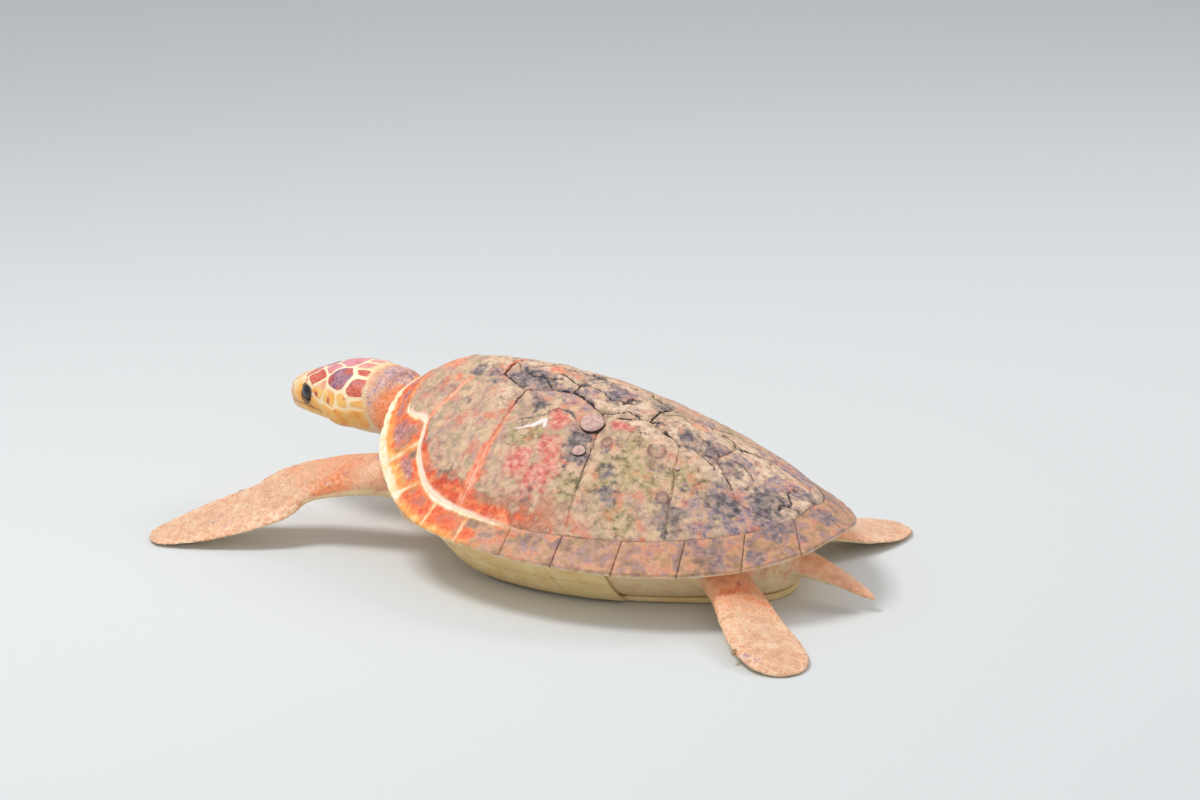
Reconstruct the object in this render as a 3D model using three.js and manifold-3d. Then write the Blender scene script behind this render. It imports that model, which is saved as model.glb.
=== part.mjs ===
// A life-size loggerhead sea turtle, crawling: belly on the ground, head raised, left front flipper reaching
// forward, right front flipper swept back. Millimetres, +Z up, the head towards -Y, the left side at +X.
// The origin is on the flat underside of the plastron, below the middle of the shell.
import * as THREE from 'three';
import { mergeVertices } from 'three/addons/utils/BufferGeometryUtils.js';
import Module from 'manifold-3d';

const wasm = await Module();
wasm.setup();

// ---------------------------------------------------------------- driving dimensions
const GAP = 0.3; // clearance between pieces that touch
const PLATE = 9; // thickness of the vertebral and costal plates
const UNDER_PLATE = 4.2; // clearance between the plates and the trunk below them
const EDGE_DROP = 3; // how far a plate's top falls at its edge
const STEPS_PER_MARGINAL = 3; // spans along each marginal plate
const MARGINALS = 12; // marginal plates on each side
const RIM_LIP = 9; // height of the rounded rim edge
const RIM_UNDER = 18; // how far the marginals' inner lower edge lies below the rim
const BELLY = 14; // thickness of the plastron
const BRIDGE = 9; // thickness of the bridges between plastron and marginals
const FIRST_JOINT = -0.75; // the middle of the nuchal plate, counted in marginal joints
const LAST_JOINT = MARGINALS; // the middle of the rear rim
const KEEL_END = 300; // how far back the belly's middle line is drawn
const BRIDGE_JOINTS = [10 / 3, 23 / 3]; // where the bridges begin and end along the rim

// The shell's rim on the left side, one row per marginal joint:
// [joint, x, y, z, y of the spine point it radiates from]
const RIM = [
  [-0.75, 0, -470, 274, -312],
  [0, 76, -470, 253, -304],
  [1, 172, -436, 194, -286],
  [2, 250, -362, 147, -252],
  [3, 296, -297, 127, -214],
  [4, 324, -236, 119, -178],
  [5, 347, -155, 115, -122],
  [6, 357, -56, 111, -52],
  [7, 350, 46, 108, 28],
  [8, 322, 152, 104, 110],
  [9, 269, 254, 103, 188],
  [10, 196, 342, 108, 260],
  [11, 102, 410, 122, 320],
  [12, 0, 440, 140, 356],
];
// Height of the back along the spine: [y, z]
const RIDGE = [
  [-312, 338],
  [-230, 343],
  [-130, 334],
  [-30, 316],
  [80, 288],
  [180, 251],
  [270, 208],
  [356, 174],
];
// How the shell falls from spine (0) to rim (1): [share of the way, height share] for a full dome
const FALL = [
  [0, 1],
  [0.12, 0.995],
  [0.3, 0.95],
  [0.45, 0.81],
  [0.6, 0.66],
  [0.72, 0.49],
  [0.84, 0.27],
  [0.93, 0.12],
  [1, 0],
];
// How full the dome is along the rim: [joint, fullness], 0 a straight slope and 1 the full dome
const FULLNESS = [
  [-0.75, 0.8],
  [2, 0.75],
  [5, 0.75],
  [8, 0.7],
  [10, 0.7],
  [12, 0.8],
];
// Plan width of the marginal plates, measured in from the rim: [joint, width]
const MARGINAL_WIDTH = [
  [-0.75, 54],
  [0.3, 52],
  [0.8, 54],
  [1.25, 70],
  [5 / 3, 87],
  [1.9, 73],
  [2.15, 61],
  [2.7, 51],
  [3.2, 44],
  [4, 40],
  [5.5, 42],
  [8, 54],
  [10, 62],
  [12, 62],
];
// How far each seam between marginal plates slips forward on its way out to the rim: [joint, slip in joints]
const SEAM_SLIP = [
  [-0.75, 0],
  [0, 0],
  [1, 0.42],
  [2, 0.55],
  [3, 0.7],
  [4, 0.12],
  [5, 0],
  [12, 0],
];
// Seams between vertebral plates, front to back: [half width, y]
const VERTEBRAL_SEAMS = [
  [48, -244],
  [44, -94],
  [40, 62],
  [34, 200],
];
// The outer corner of each vertebral plate on the left side: [x, y]
const VERTEBRAL_CORNERS = [
  [68, -300],
  [78, -176],
  [78, -6],
  [56, 136],
  [96, 276],
];
// Rim joints at which the seams of the costal plates meet the marginals
const COSTAL_JOINTS = [1 / 3, 5 / 3, 14 / 3, 7, 26 / 3, 32 / 3];
// The plastron's outline on the left side: [joint, x, y]
const PLASTRON = [
  [-0.75, 0, -346],
  [0, 56, -338],
  [1, 118, -304],
  [2, 168, -248],
  [3, 200, -190],
  [4, 216, -140],
  [5, 223, -84],
  [6, 222, -16],
  [7, 210, 56],
  [8, 182, 134],
  [9, 142, 210],
  [10, 100, 278],
  [11, 50, 326],
  [12, 0, 340],
];

// The neck, from the body to the head: [y, half width, top, bottom]
const NECK = [
  [-396, 84, 214, 118],
  [-432, 86, 236, 128],
  [-470, 88, 252, 140],
  [-496, 86, 270, 150],
  [-524, 80, 282, 162],
  [-531, 78, 284, 165],
];
// The head: [share of the way to the snout, half width, top, bottom]
const HEAD_BACK = -531.6;
const HEAD_LENGTH = 218;
const HEAD = [
  [0, 79, 285, 161],
  [0.15, 86, 289, 163],
  [0.3, 88, 289, 167],
  [0.45, 84, 285, 172],
  [0.6, 76, 275, 175],
  [0.72, 66, 264, 177],
  [0.84, 54, 254, 179],
  [0.93, 41, 245, 182],
  [1, 22, 234, 190],
];
const HEAD_SQUARE = 2.5; // power of the head's section: 2 is an ellipse, more is squarer
const HEAD_CROWN = 0.14; // how much narrower the head is at its crown
const EYE = { x: 49, y: -678, z: 230, radius: 21 };
const EYE_OPENING = { x: 64, halfLength: 16, halfHeight: 19 };
// The mouth line in side view, from its corner to the front of the beak: [y, z]
const MOUTH = [
  [-640, 200],
  [-672, 206],
  [-705, 205],
  [-735, 203],
  [-775, 200],
];
const THROAT = -606; // where the jaw's lower edge meets the throat
const BEAK_BACK = -722; // where the horn of the upper beak begins

// Each flipper's middle line, from inside the body to the tip, with its section there:
// [x, y, z, chord, thickness, tilt]. Tilt, in degrees, raises the edge that leads.
const FRONT_LEFT = [
  [132, -350, 116, 92, 84, 10],
  [162, -440, 134, 96, 82, 15],
  [204, -576, 108, 108, 62, 20],
  [256, -642, 68, 132, 42, 18],
  [306, -722, 37, 130, 26, 14],
  [350, -782, 16, 100, 17, 8],
  [384, -820, 5, 58, 12, 2],
];
const FRONT_RIGHT = [
  [-132, -350, 116, 92, 84, 0],
  [-196, -428, 118, 96, 74, 0],
  [-304, -430, 84, 112, 52, 4],
  [-386, -366, 46, 134, 34, 8],
  [-438, -268, 22, 128, 24, 6],
  [-470, -166, 8, 88, 15, 2],
  [-484, -98, 3.6, 26, 9, 0],
];
const HIND_LEFT = [
  [118, 238, 74, 90, 66, 0],
  [176, 318, 56, 100, 48, 4],
  [232, 384, 32, 118, 32, 6],
  [286, 446, 16, 130, 22, 5],
  [330, 496, 8, 104, 15, 2],
  [356, 526, 3.6, 40, 9, 0],
];
const HIND_RIGHT = [
  [-118, 238, 74, 90, 66, 0],
  [-196, 282, 56, 100, 48, 4],
  [-268, 304, 32, 118, 32, 6],
  [-338, 318, 16, 130, 22, 5],
  [-398, 332, 8, 104, 15, 2],
  [-434, 342, 3.6, 40, 9, 0],
];
const TAIL = [
  [0, 300, 66, 86, 56, 0],
  [0, 372, 60, 70, 48, 0],
  [0, 440, 44, 46, 34, 0],
  [0, 490, 28, 22, 18, 0],
  [0, 508, 22, 8, 7, 0],
];
const CLAW = { length: 20, radius: 4.6 };

// ---------------------------------------------------------------- small helpers
const mix = (a, b, t) => a + (b - a) * t;
const clamp = (v, lo, hi) => Math.min(hi, Math.max(lo, v));
const degrees = THREE.MathUtils.degToRad;
const range = (count, make) => Array.from({ length: count }, (_, i) => make(i));

// A smooth curve through rows [t, value, value, ...]: cubic Hermite spans whose slopes come from the neighbours.
function throughRows(rows) {
  const slope = (i, k) => {
    const a = rows[Math.max(0, i - 1)];
    const b = rows[Math.min(rows.length - 1, i + 1)];
    return (b[k] - a[k]) / (b[0] - a[0]);
  };
  return (t) => {
    let i = 0;
    while (i < rows.length - 2 && t > rows[i + 1][0]) i += 1;
    const a = rows[i];
    const b = rows[i + 1];
    const span = b[0] - a[0];
    const u = clamp((t - a[0]) / span, 0, 1);
    const ease = u * u * (3 - 2 * u);
    return range(a.length - 1, (n) => {
      const k = n + 1;
      const bend = u * (1 - u) * (1 - u) * slope(i, k) - u * u * (1 - u) * slope(i + 1, k);
      return mix(a[k], b[k], ease) + span * bend;
    });
  };
}

// A manifold solid from points and triangles, turned so that its faces point out.
function solidOf(points, faces) {
  const geometry = new THREE.BufferGeometry().setFromPoints(points).setIndex(faces);
  return solidFrom(geometry);
}

function solidFrom(geometry) {
  const bare = geometry.clone();
  bare.deleteAttribute('normal');
  bare.deleteAttribute('uv');
  const merged = mergeVertices(bare, 1e-4);
  const index = Array.from(merged.index.array);
  const kept = [];
  for (let i = 0; i < index.length; i += 3) {
    const [a, b, c] = index.slice(i, i + 3);
    if (a !== b && b !== c && c !== a) kept.push(a, b, c);
  }
  const position = merged.attributes.position;
  const at = (i) => new THREE.Vector3().fromBufferAttribute(position, i);
  let volume = 0;
  for (let i = 0; i < kept.length; i += 3) {
    volume += at(kept[i]).dot(at(kept[i + 1]).cross(at(kept[i + 2])));
  }
  if (volume < 0) {
    for (let i = 0; i < kept.length; i += 3) {
      [kept[i + 1], kept[i + 2]] = [kept[i + 2], kept[i + 1]];
    }
  }
  return new wasm.Manifold(
    new wasm.Mesh({ numProp: 3, vertProperties: position.array, triVerts: new Uint32Array(kept) }),
  );
}

// A closed surface from rows of points, each row a closed loop, with a fan over each end that is capped. The
// fan's tip is the middle of its row unless a point is given. A row that runs out and back along a thin bent
// section is closed by a strip instead.
function loft(rows, { startCap = true, endCap = true, startTip, endTip, strip = false } = {}) {
  const count = rows[0].length;
  const points = rows.flat();
  const faces = [];
  for (let j = 0; j + 1 < rows.length; j += 1) {
    for (let i = 0; i < count; i += 1) {
      const a = j * count + i;
      const b = j * count + ((i + 1) % count);
      faces.push(a, b, b + count, a, b + count, a + count);
    }
  }
  const middleOf = (row) =>
    row.reduce((sum, p) => sum.add(p), new THREE.Vector3()).divideScalar(count);
  const cap = (given, row, first, flip) => {
    const tip = points.push(given ?? middleOf(row)) - 1;
    for (let i = 0; i < count; i += 1) {
      const a = first + i;
      const b = first + ((i + 1) % count);
      faces.push(tip, flip ? b : a, flip ? a : b);
    }
  };
  const closeStrip = (first, flip) => {
    for (let i = 0; i + 1 < count / 2; i += 1) {
      const [a, b, c, d] = [i, i + 1, count - 2 - i, count - 1 - i].map((k) => first + k);
      faces.push(a, flip ? c : b, flip ? b : c, a, flip ? d : c, flip ? c : d);
    }
  };
  const last = rows.length - 1;
  if (strip) {
    closeStrip(0, true);
    closeStrip(last * count, false);
    return solidOf(points, faces);
  }
  if (startCap) cap(startTip, rows[0], 0, true);
  if (endCap) cap(endTip, rows[last], last * count, false);
  return solidOf(points, faces);
}

// The largest body of a solid, which drops the crumbs that a cut leaves.
const largest = (solid) =>
  solid.decompose().reduce((best, body) => (body.volume() > best.volume() ? body : best));

// ---------------------------------------------------------------- finishes
const finish = (hex, roughness) =>
  new THREE.MeshStandardMaterial({ color: hex, roughness, metalness: 0, flatShading: true });
const FINISH = {
  skin: finish('#cf9468', 0.75),
  headSkin: finish('#dd8a55', 0.6),
  horn: finish('#d9b98a', 0.5),
  eye: finish('#15161a', 0.1),
  backPlate: finish('#84725a', 0.85),
  rimPlate: finish('#c8683f', 0.8),
  belly: finish('#e6d29c', 0.7),
  claw: finish('#8a6f4d', 0.5),
};

const turtle = new THREE.Group();

function add(name, solid, material) {
  const { vertProperties, triVerts } = largest(solid).getMesh();
  const geometry = new THREE.BufferGeometry()
    .setAttribute('position', new THREE.BufferAttribute(new Float32Array(vertProperties), 3))
    .setIndex(new THREE.BufferAttribute(new Uint32Array(triVerts), 1));
  geometry.computeVertexNormals();
  const mesh = new THREE.Mesh(geometry, material);
  mesh.name = name;
  turtle.add(mesh);
}

// ---------------------------------------------------------------- the shell's surface
const rimAt = throughRows(RIM);
const ridgeAt = throughRows(RIDGE);
const fallAt = throughRows(FALL);
const fullnessAt = throughRows(FULLNESS);
const marginalWidthAt = throughRows(MARGINAL_WIDTH);
const seamSlipAt = throughRows(SEAM_SLIP);
const plastronAt = throughRows(PLASTRON);
// Where the belly's middle line is met from a rim joint, kept inside the plastron's rear edge
const keelY = (joint) => Math.min(rimAt(joint)[3], KEEL_END);

const fall = (joint, out) => mix(1 - out, fallAt(out)[0], fullnessAt(joint)[0]);

// The shell at a rim joint and a share of the way out from the spine; side is 1 on the left, -1 on the right.
function shellPoint(joint, out, side = 1, lift = 0) {
  const [x, y, z, spineY] = rimAt(joint);
  const height = mix(z, ridgeAt(spineY)[0], fall(joint, out));
  return new THREE.Vector3(side * x * out, mix(spineY, y, out), height + lift);
}

// The share of the way out at which the marginal plates begin, moved in by some millimetres.
function seamOut(joint, inset = 0) {
  const [x, y, , spineY] = rimAt(joint);
  return 1 - (marginalWidthAt(joint)[0] + inset) / Math.hypot(x, y - spineY);
}

// The shell's height over a plan point: the spoke through the point is found by halving, then read off.
function shellHeight(px, py) {
  const x = Math.max(Math.abs(px), 0.01);
  let lo = FIRST_JOINT;
  let hi = LAST_JOINT;
  for (let i = 0; i < 40; i += 1) {
    const middle = (lo + hi) / 2;
    const [rx, ry, , spineY] = rimAt(middle);
    if (rx * (py - spineY) - x * (ry - spineY) > 0) lo = middle;
    else hi = middle;
  }
  const [rx, ry, z, spineY] = rimAt((lo + hi) / 2);
  const out = Math.min(1, Math.hypot(x, py - spineY) / Math.hypot(rx, ry - spineY));
  return mix(z, ridgeAt(spineY)[0], fall((lo + hi) / 2, out));
}

// The belly side between the marginals' inner lower edge (0) and the plastron's edge (1), a hollow-out curve.
function underPoint(joint, share, side, lift = 0, inset = 0.5) {
  const edge = shellPoint(joint, seamOut(joint, inset), side);
  const rimZ = rimAt(joint)[2] - RIM_UNDER;
  const [px, py] = plastronAt(joint);
  const z = mix(rimZ, 4, 1 - (1 - share) ** 1.6);
  return new THREE.Vector3(mix(edge.x, side * px, share), mix(edge.y, py, share), z + lift);
}

const jointsBetween = (from, to) => {
  const spans = Math.round((to - from) * STEPS_PER_MARGINAL);
  return range(spans + 1, (i) => mix(from, to, i / spans));
};
const ALL_JOINTS = [FIRST_JOINT, ...jointsBetween(-2 / 3, LAST_JOINT)];

// A ring round the whole animal: a point for each joint on the left, then back along the right.
const ringAround = (pointAt) => [
  ...ALL_JOINTS.map((joint) => pointAt(joint, 1)),
  ...ALL_JOINTS.slice(1, -1)
    .reverse()
    .map((joint) => pointAt(joint, -1)),
];

// ---------------------------------------------------------------- trunk, plastron and bridges
const TOP_SHARES = [0, 0.26, 0.5, 0.76, 1];
const UNDER_SHARES = [0, 0.4, 1];
const TRUNK_LIFT = BRIDGE + 2.5; // the trunk lies this far above the bridges' outer face

// The flesh inside the shell; grow swells it a little, to cut clearance into its neighbours.
function trunkSolid(grow = 0) {
  const inset = 2 - grow;
  const drop = -(PLATE + UNDER_PLATE) + grow;
  const top = TOP_SHARES.map((share) =>
    ringAround((joint, side) => shellPoint(joint, share * seamOut(joint, inset), side, drop)),
  );
  const under = UNDER_SHARES.map((share) =>
    ringAround((joint, side) => underPoint(joint, share, side, TRUNK_LIFT - grow, inset)),
  );
  const keel = ringAround((joint) => new THREE.Vector3(0, keelY(joint), BELLY + 0.5 - grow));
  return loft([...top, ...under, keel], { startCap: false, endCap: false });
}

const plastronPoint = (joint, share, side, z) => {
  const [px, py] = plastronAt(joint);
  return new THREE.Vector3(side * px * share, mix(keelY(joint), py, share), z);
};

function plastronSolid() {
  const ring = (share, z) => ringAround((joint, side) => plastronPoint(joint, share, side, z));
  const rows = [ring(0, 0), ring(0.92, 0), ring(0.998, 5), ring(0.998, BELLY), ring(0, BELLY)];
  return loft(rows, { startCap: false, endCap: false });
}

function bridgeSolid(side) {
  const outer = [0, 0.33, 0.67, 0.99];
  const rows = jointsBetween(...BRIDGE_JOINTS).map((joint) => [
    ...outer.map((share) => underPoint(joint, share, side)),
    ...outer.map((share) => underPoint(joint, share, side, BRIDGE)).reverse(),
  ]);
  return loft(rows, { strip: true });
}

const trunk = trunkSolid();
const trunkCutter = trunkSolid(GAP);
add('trunk', trunk, FINISH.skin);
add('plastron', plastronSolid(), FINISH.belly);
add('bridge_left', bridgeSolid(1), FINISH.belly);
add('bridge_right', bridgeSolid(-1), FINISH.belly);

// ---------------------------------------------------------------- back plates
// Plan points along the inner edge of the marginals, between two joints.
const seamRun = (from, to, side) =>
  jointsBetween(Math.min(from, to), Math.max(from, to)).map((joint) => {
    const p = shellPoint(joint, seamOut(joint, GAP), side);
    return [p.x, p.y];
  });

// Adds points to an outline so that no stretch is longer than a limit.
const refine = (outline, longest) =>
  outline.flatMap(([x, y], i) => {
    const [nx, ny] = outline[(i + 1) % outline.length];
    const parts = Math.max(1, Math.ceil(Math.hypot(nx - x, ny - y) / longest));
    return range(parts, (k) => [mix(x, nx, k / parts), mix(y, ny, k / parts)]);
  });

// Moves each side of a plan outline inwards by a distance.
function insetOutline(outline, distance) {
  const turn = Math.sign(THREE.ShapeUtils.area(outline.map(([x, y]) => new THREE.Vector2(x, y))));
  const count = outline.length;
  const normal = (i) => {
    const [x, y] = outline[i];
    const [nx, ny] = outline[(i + 1) % count];
    return new THREE.Vector2(y - ny, nx - x).normalize().multiplyScalar(turn);
  };
  return outline.map(([x, y], i) => {
    const a = normal((i + count - 1) % count);
    const b = normal(i);
    const move = a.clone().add(b).multiplyScalar(distance / Math.max(0.35, 1 + a.dot(b)));
    return [x + move.x, y + move.y];
  });
}

// A plate over a plan outline: its top follows the shell and drops at the edge, its bottom lies on the trunk.
const PLATE_SPAN = 76; // longest straight stretch of a plate's edge
function plate(outline, rise) {
  const edge = insetOutline(refine(outline, PLATE_SPAN), GAP / 2);
  const cx = edge.reduce((sum, p) => sum + p[0], 0) / edge.length;
  const cy = edge.reduce((sum, p) => sum + p[1], 0) / edge.length;
  const ring = (share, lift) =>
    edge.map(([x, y]) => {
      const px = mix(cx, x, share);
      const py = mix(cy, y, share);
      return new THREE.Vector3(px, py, shellHeight(px, py) + lift);
    });
  const rows = [
    ring(0.5, rise * 0.75),
    ring(0.9, -EDGE_DROP * 0.3),
    ring(1, -EDGE_DROP),
    ring(1, -PLATE),
    ring(0.6, -PLATE),
  ];
  const middle = (lift) => new THREE.Vector3(cx, cy, shellHeight(cx, cy) + lift);
  return loft(rows, { startTip: middle(rise), endTip: middle(-PLATE) });
}

const mirrored = (points) => points.map(([x, y]) => [-x, y]).reverse();
VERTEBRAL_CORNERS.forEach((corner, i) => {
  const front = i > 0 ? [VERTEBRAL_SEAMS[i - 1]] : [];
  const back = i < 4 ? [VERTEBRAL_SEAMS[i]] : [];
  // The first and last plates also run along the marginals, from the spine out to their corner.
  const nose = i === 0 ? [...seamRun(-2 / 3, COSTAL_JOINTS[0], 1)] : [];
  const rear = i === 4 ? seamRun(COSTAL_JOINTS[5], LAST_JOINT, 1) : [];
  const left = [...nose, ...front, corner, ...back, ...rear];
  const right = mirrored(i === 4 ? left.slice(0, -1) : left);
  add(`vertebral_${i + 1}`, plate([...left, ...right], 4), FINISH.backPlate);
});

const SIDES = [
  ['left', 1],
  ['right', -1],
];
for (const [sideName, side] of SIDES) {
  VERTEBRAL_CORNERS.forEach((corner, i) => {
    const inner = i > 0 ? [VERTEBRAL_CORNERS[i - 1], VERTEBRAL_SEAMS[i - 1], corner] : [corner];
    const outer = seamRun(COSTAL_JOINTS[i], COSTAL_JOINTS[i + 1], side).reverse();
    const outline = [...inner.map(([x, y]) => [side * x, y]), ...outer];
    add(`costal_${sideName}_${i + 1}`, plate(outline, 3), FINISH.backPlate);
  });
}

// ---------------------------------------------------------------- rim plates
// A rim plate is a closed section carried along the rim: shell on top, a rounded edge, a hollowed underside.
// Every point of a section slips forward by its share of the way out.
function rimSection(joint, side, grow = 0) {
  const slipped = (share) => joint - seamSlipAt(joint)[0] * share;
  const above = (share, lift) => {
    const inner = seamOut(slipped(share), -GAP / 2 + grow);
    return shellPoint(slipped(share), mix(inner, 1, share), side, lift);
  };
  const under = (share, inset, drop) => {
    const at = slipped(share);
    const edge = shellPoint(at, 1, side);
    const inward = shellPoint(at, 0, side).setZ(0).sub(edge.clone().setZ(0)).normalize();
    const plan = (1 - share) * marginalWidthAt(at)[0] + inset;
    return edge.addScaledVector(inward, plan).setZ(rimAt(at)[2] - drop - grow);
  };
  return [
    above(0, grow - EDGE_DROP),
    above(0.18, grow),
    above(0.94, grow),
    under(1, -1 - grow, RIM_LIP * 0.45),
    under(0.9, 0, RIM_LIP),
    under(0.5, 0, mix(RIM_LIP, RIM_UNDER, 0.6)),
    under(0, grow - GAP / 2, RIM_UNDER),
  ];
}
const rimPlate = (joints, side) => loft(joints.map(([joint, s]) => rimSection(joint, s * side)));
// The whole rim of a side, swollen by the gap, to cut clearance into the limbs that pass under it
const rimCutter = (side) =>
  loft(jointsBetween(0, LAST_JOINT).map((joint) => rimSection(joint, side, GAP)));
const END_GAP = 0.004; // half of the gap between rim plates, in joints

const nuchalLeft = [-END_GAP, -1 / 3, -2 / 3];
add(
  'nuchal',
  rimPlate([...nuchalLeft.map((joint) => [joint, 1]), ...nuchalLeft.reverse().map((joint) => [joint, -1])], 1),
  FINISH.rimPlate,
);
for (const [sideName, side] of SIDES) {
  for (let i = 0; i < MARGINALS; i += 1) {
    const name = `marginal_${sideName}_${String(i + 1).padStart(2, '0')}`;
    const end = i + 1 === MARGINALS ? LAST_JOINT - 2 * END_GAP : i + 1 - END_GAP;
    const joints = range(STEPS_PER_MARGINAL + 1, (k) => [mix(i + END_GAP, end, k / STEPS_PER_MARGINAL), 1]);
    add(name, rimPlate(joints, side), FINISH.rimPlate);
  }
}

// ---------------------------------------------------------------- neck and head
// A ring at a y: a superellipse between top and bottom, drawn in above its middle by a share of its width.
const headRing = (y, halfWidth, top, bottom, count, power, crown) =>
  range(count, (i) => {
    const angle = ((i + 0.5) / count) * 2 * Math.PI;
    const c = Math.cos(angle);
    const s = Math.sin(angle);
    const narrow = 1 - crown * Math.max(0, s);
    const x = halfWidth * narrow * Math.sign(c) * Math.abs(c) ** (2 / power);
    const z = ((top - bottom) / 2) * Math.sign(s) * Math.abs(s) ** (2 / power);
    return new THREE.Vector3(x, y, (top + bottom) / 2 + z);
  });

const NECK_SIDES = 20;
const neck = loft(
  NECK.map(([y, halfWidth, top, bottom]) => headRing(y, halfWidth, top, bottom, NECK_SIDES, 2.2, 0.05)),
);
add('neck', neck.subtract(trunkCutter), FINISH.skin);

// An outline in the side view, [y, z] points, extruded across the whole head.
function acrossHead(outline) {
  const shape = new THREE.Shape(outline.map(([y, z]) => new THREE.Vector2(y, z)));
  const geometry = new THREE.ExtrudeGeometry(shape, { depth: 240, bevelEnabled: false });
  const turn = new THREE.Matrix4().set(0, 0, 1, -120, 1, 0, 0, 0, 0, 1, 0, 0, 0, 0, 0, 1);
  return solidFrom(geometry.applyMatrix4(turn));
}
const ellipsoid = (x, y, z, rx, ry, rz) =>
  solidFrom(new THREE.SphereGeometry(1, 12, 8).scale(rx, ry, rz).translate(x, y, z));

const HEAD_SIDES = 20;
const HEAD_STATIONS = 12;
const headAt = throughRows(HEAD);
const headRows = range(HEAD_STATIONS, (i) => {
  const share = 1 - (1 - i / (HEAD_STATIONS - 1)) ** 1.25;
  return headRing(HEAD_BACK - HEAD_LENGTH * share, ...headAt(share), HEAD_SIDES, HEAD_SQUARE, HEAD_CROWN);
});
const wholeHead = loft(headRows);

// Below the mouth line and in front of the throat, moved down and forwards by some millimetres
const jawSpace = (shift) => {
  const outline = [...MOUTH, [MOUTH[MOUTH.length - 1][0], 120], [THROAT, 120]];
  return acrossHead(outline.map(([y, z]) => [y - shift, z - shift]));
};
// The horn of the upper beak, in front of a slanting line
const beakSpace = (back) =>
  acrossHead([
    [back + 26, 170],
    [back + 20, 214],
    [back, 222],
    [back - 6, 250],
    [-800, 250],
    [-800, 170],
  ]);

const orbits = SIDES.map(([, side]) => {
  const ball = ellipsoid(side * EYE.x, EYE.y, EYE.z, ...Array(3).fill(EYE.radius + GAP));
  const { x, halfLength, halfHeight } = EYE_OPENING;
  return ball.add(ellipsoid(side * x, EYE.y, EYE.z, EYE.radius, halfLength, halfHeight));
});
const skull = orbits.reduce((solid, orbit) => solid.subtract(orbit), wholeHead.subtract(jawSpace(0)));
add('head', skull.subtract(beakSpace(BEAK_BACK + GAP)), FINISH.headSkin);
add('beak', skull.intersect(beakSpace(BEAK_BACK)), FINISH.horn);
add('jaw', wholeHead.intersect(jawSpace(1.2)), FINISH.headSkin);
for (const [sideName, side] of SIDES) {
  add(`eye_${sideName}`, ellipsoid(side * EYE.x, EYE.y, EYE.z, ...Array(3).fill(EYE.radius)), FINISH.eye);
}

// ---------------------------------------------------------------- flippers, tail and claws
const LIMB_SIDES = 12;
const LIMB_STATIONS = 12;

// A limb's frame at a share of its middle line: centre, direction, the way to its leading edge, and up.
function limbFrame(rows, lead) {
  const curve = new THREE.CatmullRomCurve3(rows.map(([x, y, z]) => new THREE.Vector3(x, y, z)));
  const sectionAt = throughRows(rows.map((row, i) => [i / (rows.length - 1), ...row.slice(3)]));
  return (share) => {
    const centre = curve.getPoint(share);
    const forward = curve.getTangent(share);
    const [chord, thickness, tilt] = sectionAt(share);
    const across = new THREE.Vector3(-forward.y, forward.x, 0).normalize().multiplyScalar(lead);
    const up = new THREE.Vector3().crossVectors(forward, across).normalize();
    if (up.z < 0) up.negate();
    const turn = degrees(tilt);
    const toLead = across.clone().multiplyScalar(Math.cos(turn)).addScaledVector(up, Math.sin(turn));
    const lift = up.clone().multiplyScalar(Math.cos(turn)).addScaledVector(across, -Math.sin(turn));
    return { centre, forward, toLead, lift, chord, thickness };
  };
}

// A rounded flat section, thicker towards the leading edge and thin behind; nothing reaches below the floor.
function limbSolid(rows, lead, grow = 0) {
  const frameAt = limbFrame(rows, lead);
  const rings = range(LIMB_STATIONS, (j) => {
    const share = j / (LIMB_STATIONS - 1);
    const { centre, toLead, lift, chord, thickness } = frameAt(share);
    return range(LIMB_SIDES, (i) => {
      const angle = ((i + 0.5) / LIMB_SIDES) * 2 * Math.PI;
      const along = Math.cos(angle);
      const taper = mix(1, 0.72 + 0.28 * along, clamp(share * 2, 0, 1));
      const p = centre.clone().addScaledVector(toLead, along * (chord / 2 + grow));
      p.addScaledVector(lift, Math.sin(angle) * (thickness / 2 + grow) * taper);
      return p.setZ(Math.max(-grow, p.z));
    });
  });
  return loft(rings);
}

const LIMBS = [
  ['flipper_front_left', FRONT_LEFT, -1],
  ['flipper_front_right', FRONT_RIGHT, 1],
  ['flipper_hind_left', HIND_LEFT, -1],
  ['flipper_hind_right', HIND_RIGHT, 1],
];
const CLAW_SHARES = { front: 0.56, hind: 0.62 };
LIMBS.forEach(([name, rows, lead]) => {
  const rim = rimCutter(Math.sign(rows[0][0]));
  add(name, limbSolid(rows, lead).subtract(trunkCutter).subtract(rim), FINISH.skin);
  const share = name.includes('front') ? CLAW_SHARES.front : CLAW_SHARES.hind;
  const { centre, forward, toLead, chord } = limbFrame(rows, lead)(share);
  const root = centre.clone().addScaledVector(toLead, chord / 2 - CLAW.radius);
  const cone = new THREE.ConeGeometry(CLAW.radius, CLAW.length, 7).translate(0, CLAW.length / 2, 0);
  const aim = toLead.clone().addScaledVector(forward, 0.9).setZ(0).normalize();
  cone.applyQuaternion(new THREE.Quaternion().setFromUnitVectors(new THREE.Vector3(0, 1, 0), aim));
  const claw = solidFrom(cone.translate(root.x, root.y, root.z));
  add(name.replace('flipper', 'claw'), claw.subtract(limbSolid(rows, lead, GAP)), FINISH.claw);
});
add('tail', limbSolid(TAIL, 1).subtract(trunkCutter), FINISH.skin);

export default turtle;
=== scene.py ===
"""Life-size loggerhead sea turtle, crawling on its plastron with the head raised.

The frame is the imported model: +Z up, the head towards -Y, the left side at +X. The tables are in
millimetres and the meshes in metres. Each shell plate is a surface over its own outline, and one skin,
grown from lofts and remeshed, stands for the flesh.
"""

import math

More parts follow.
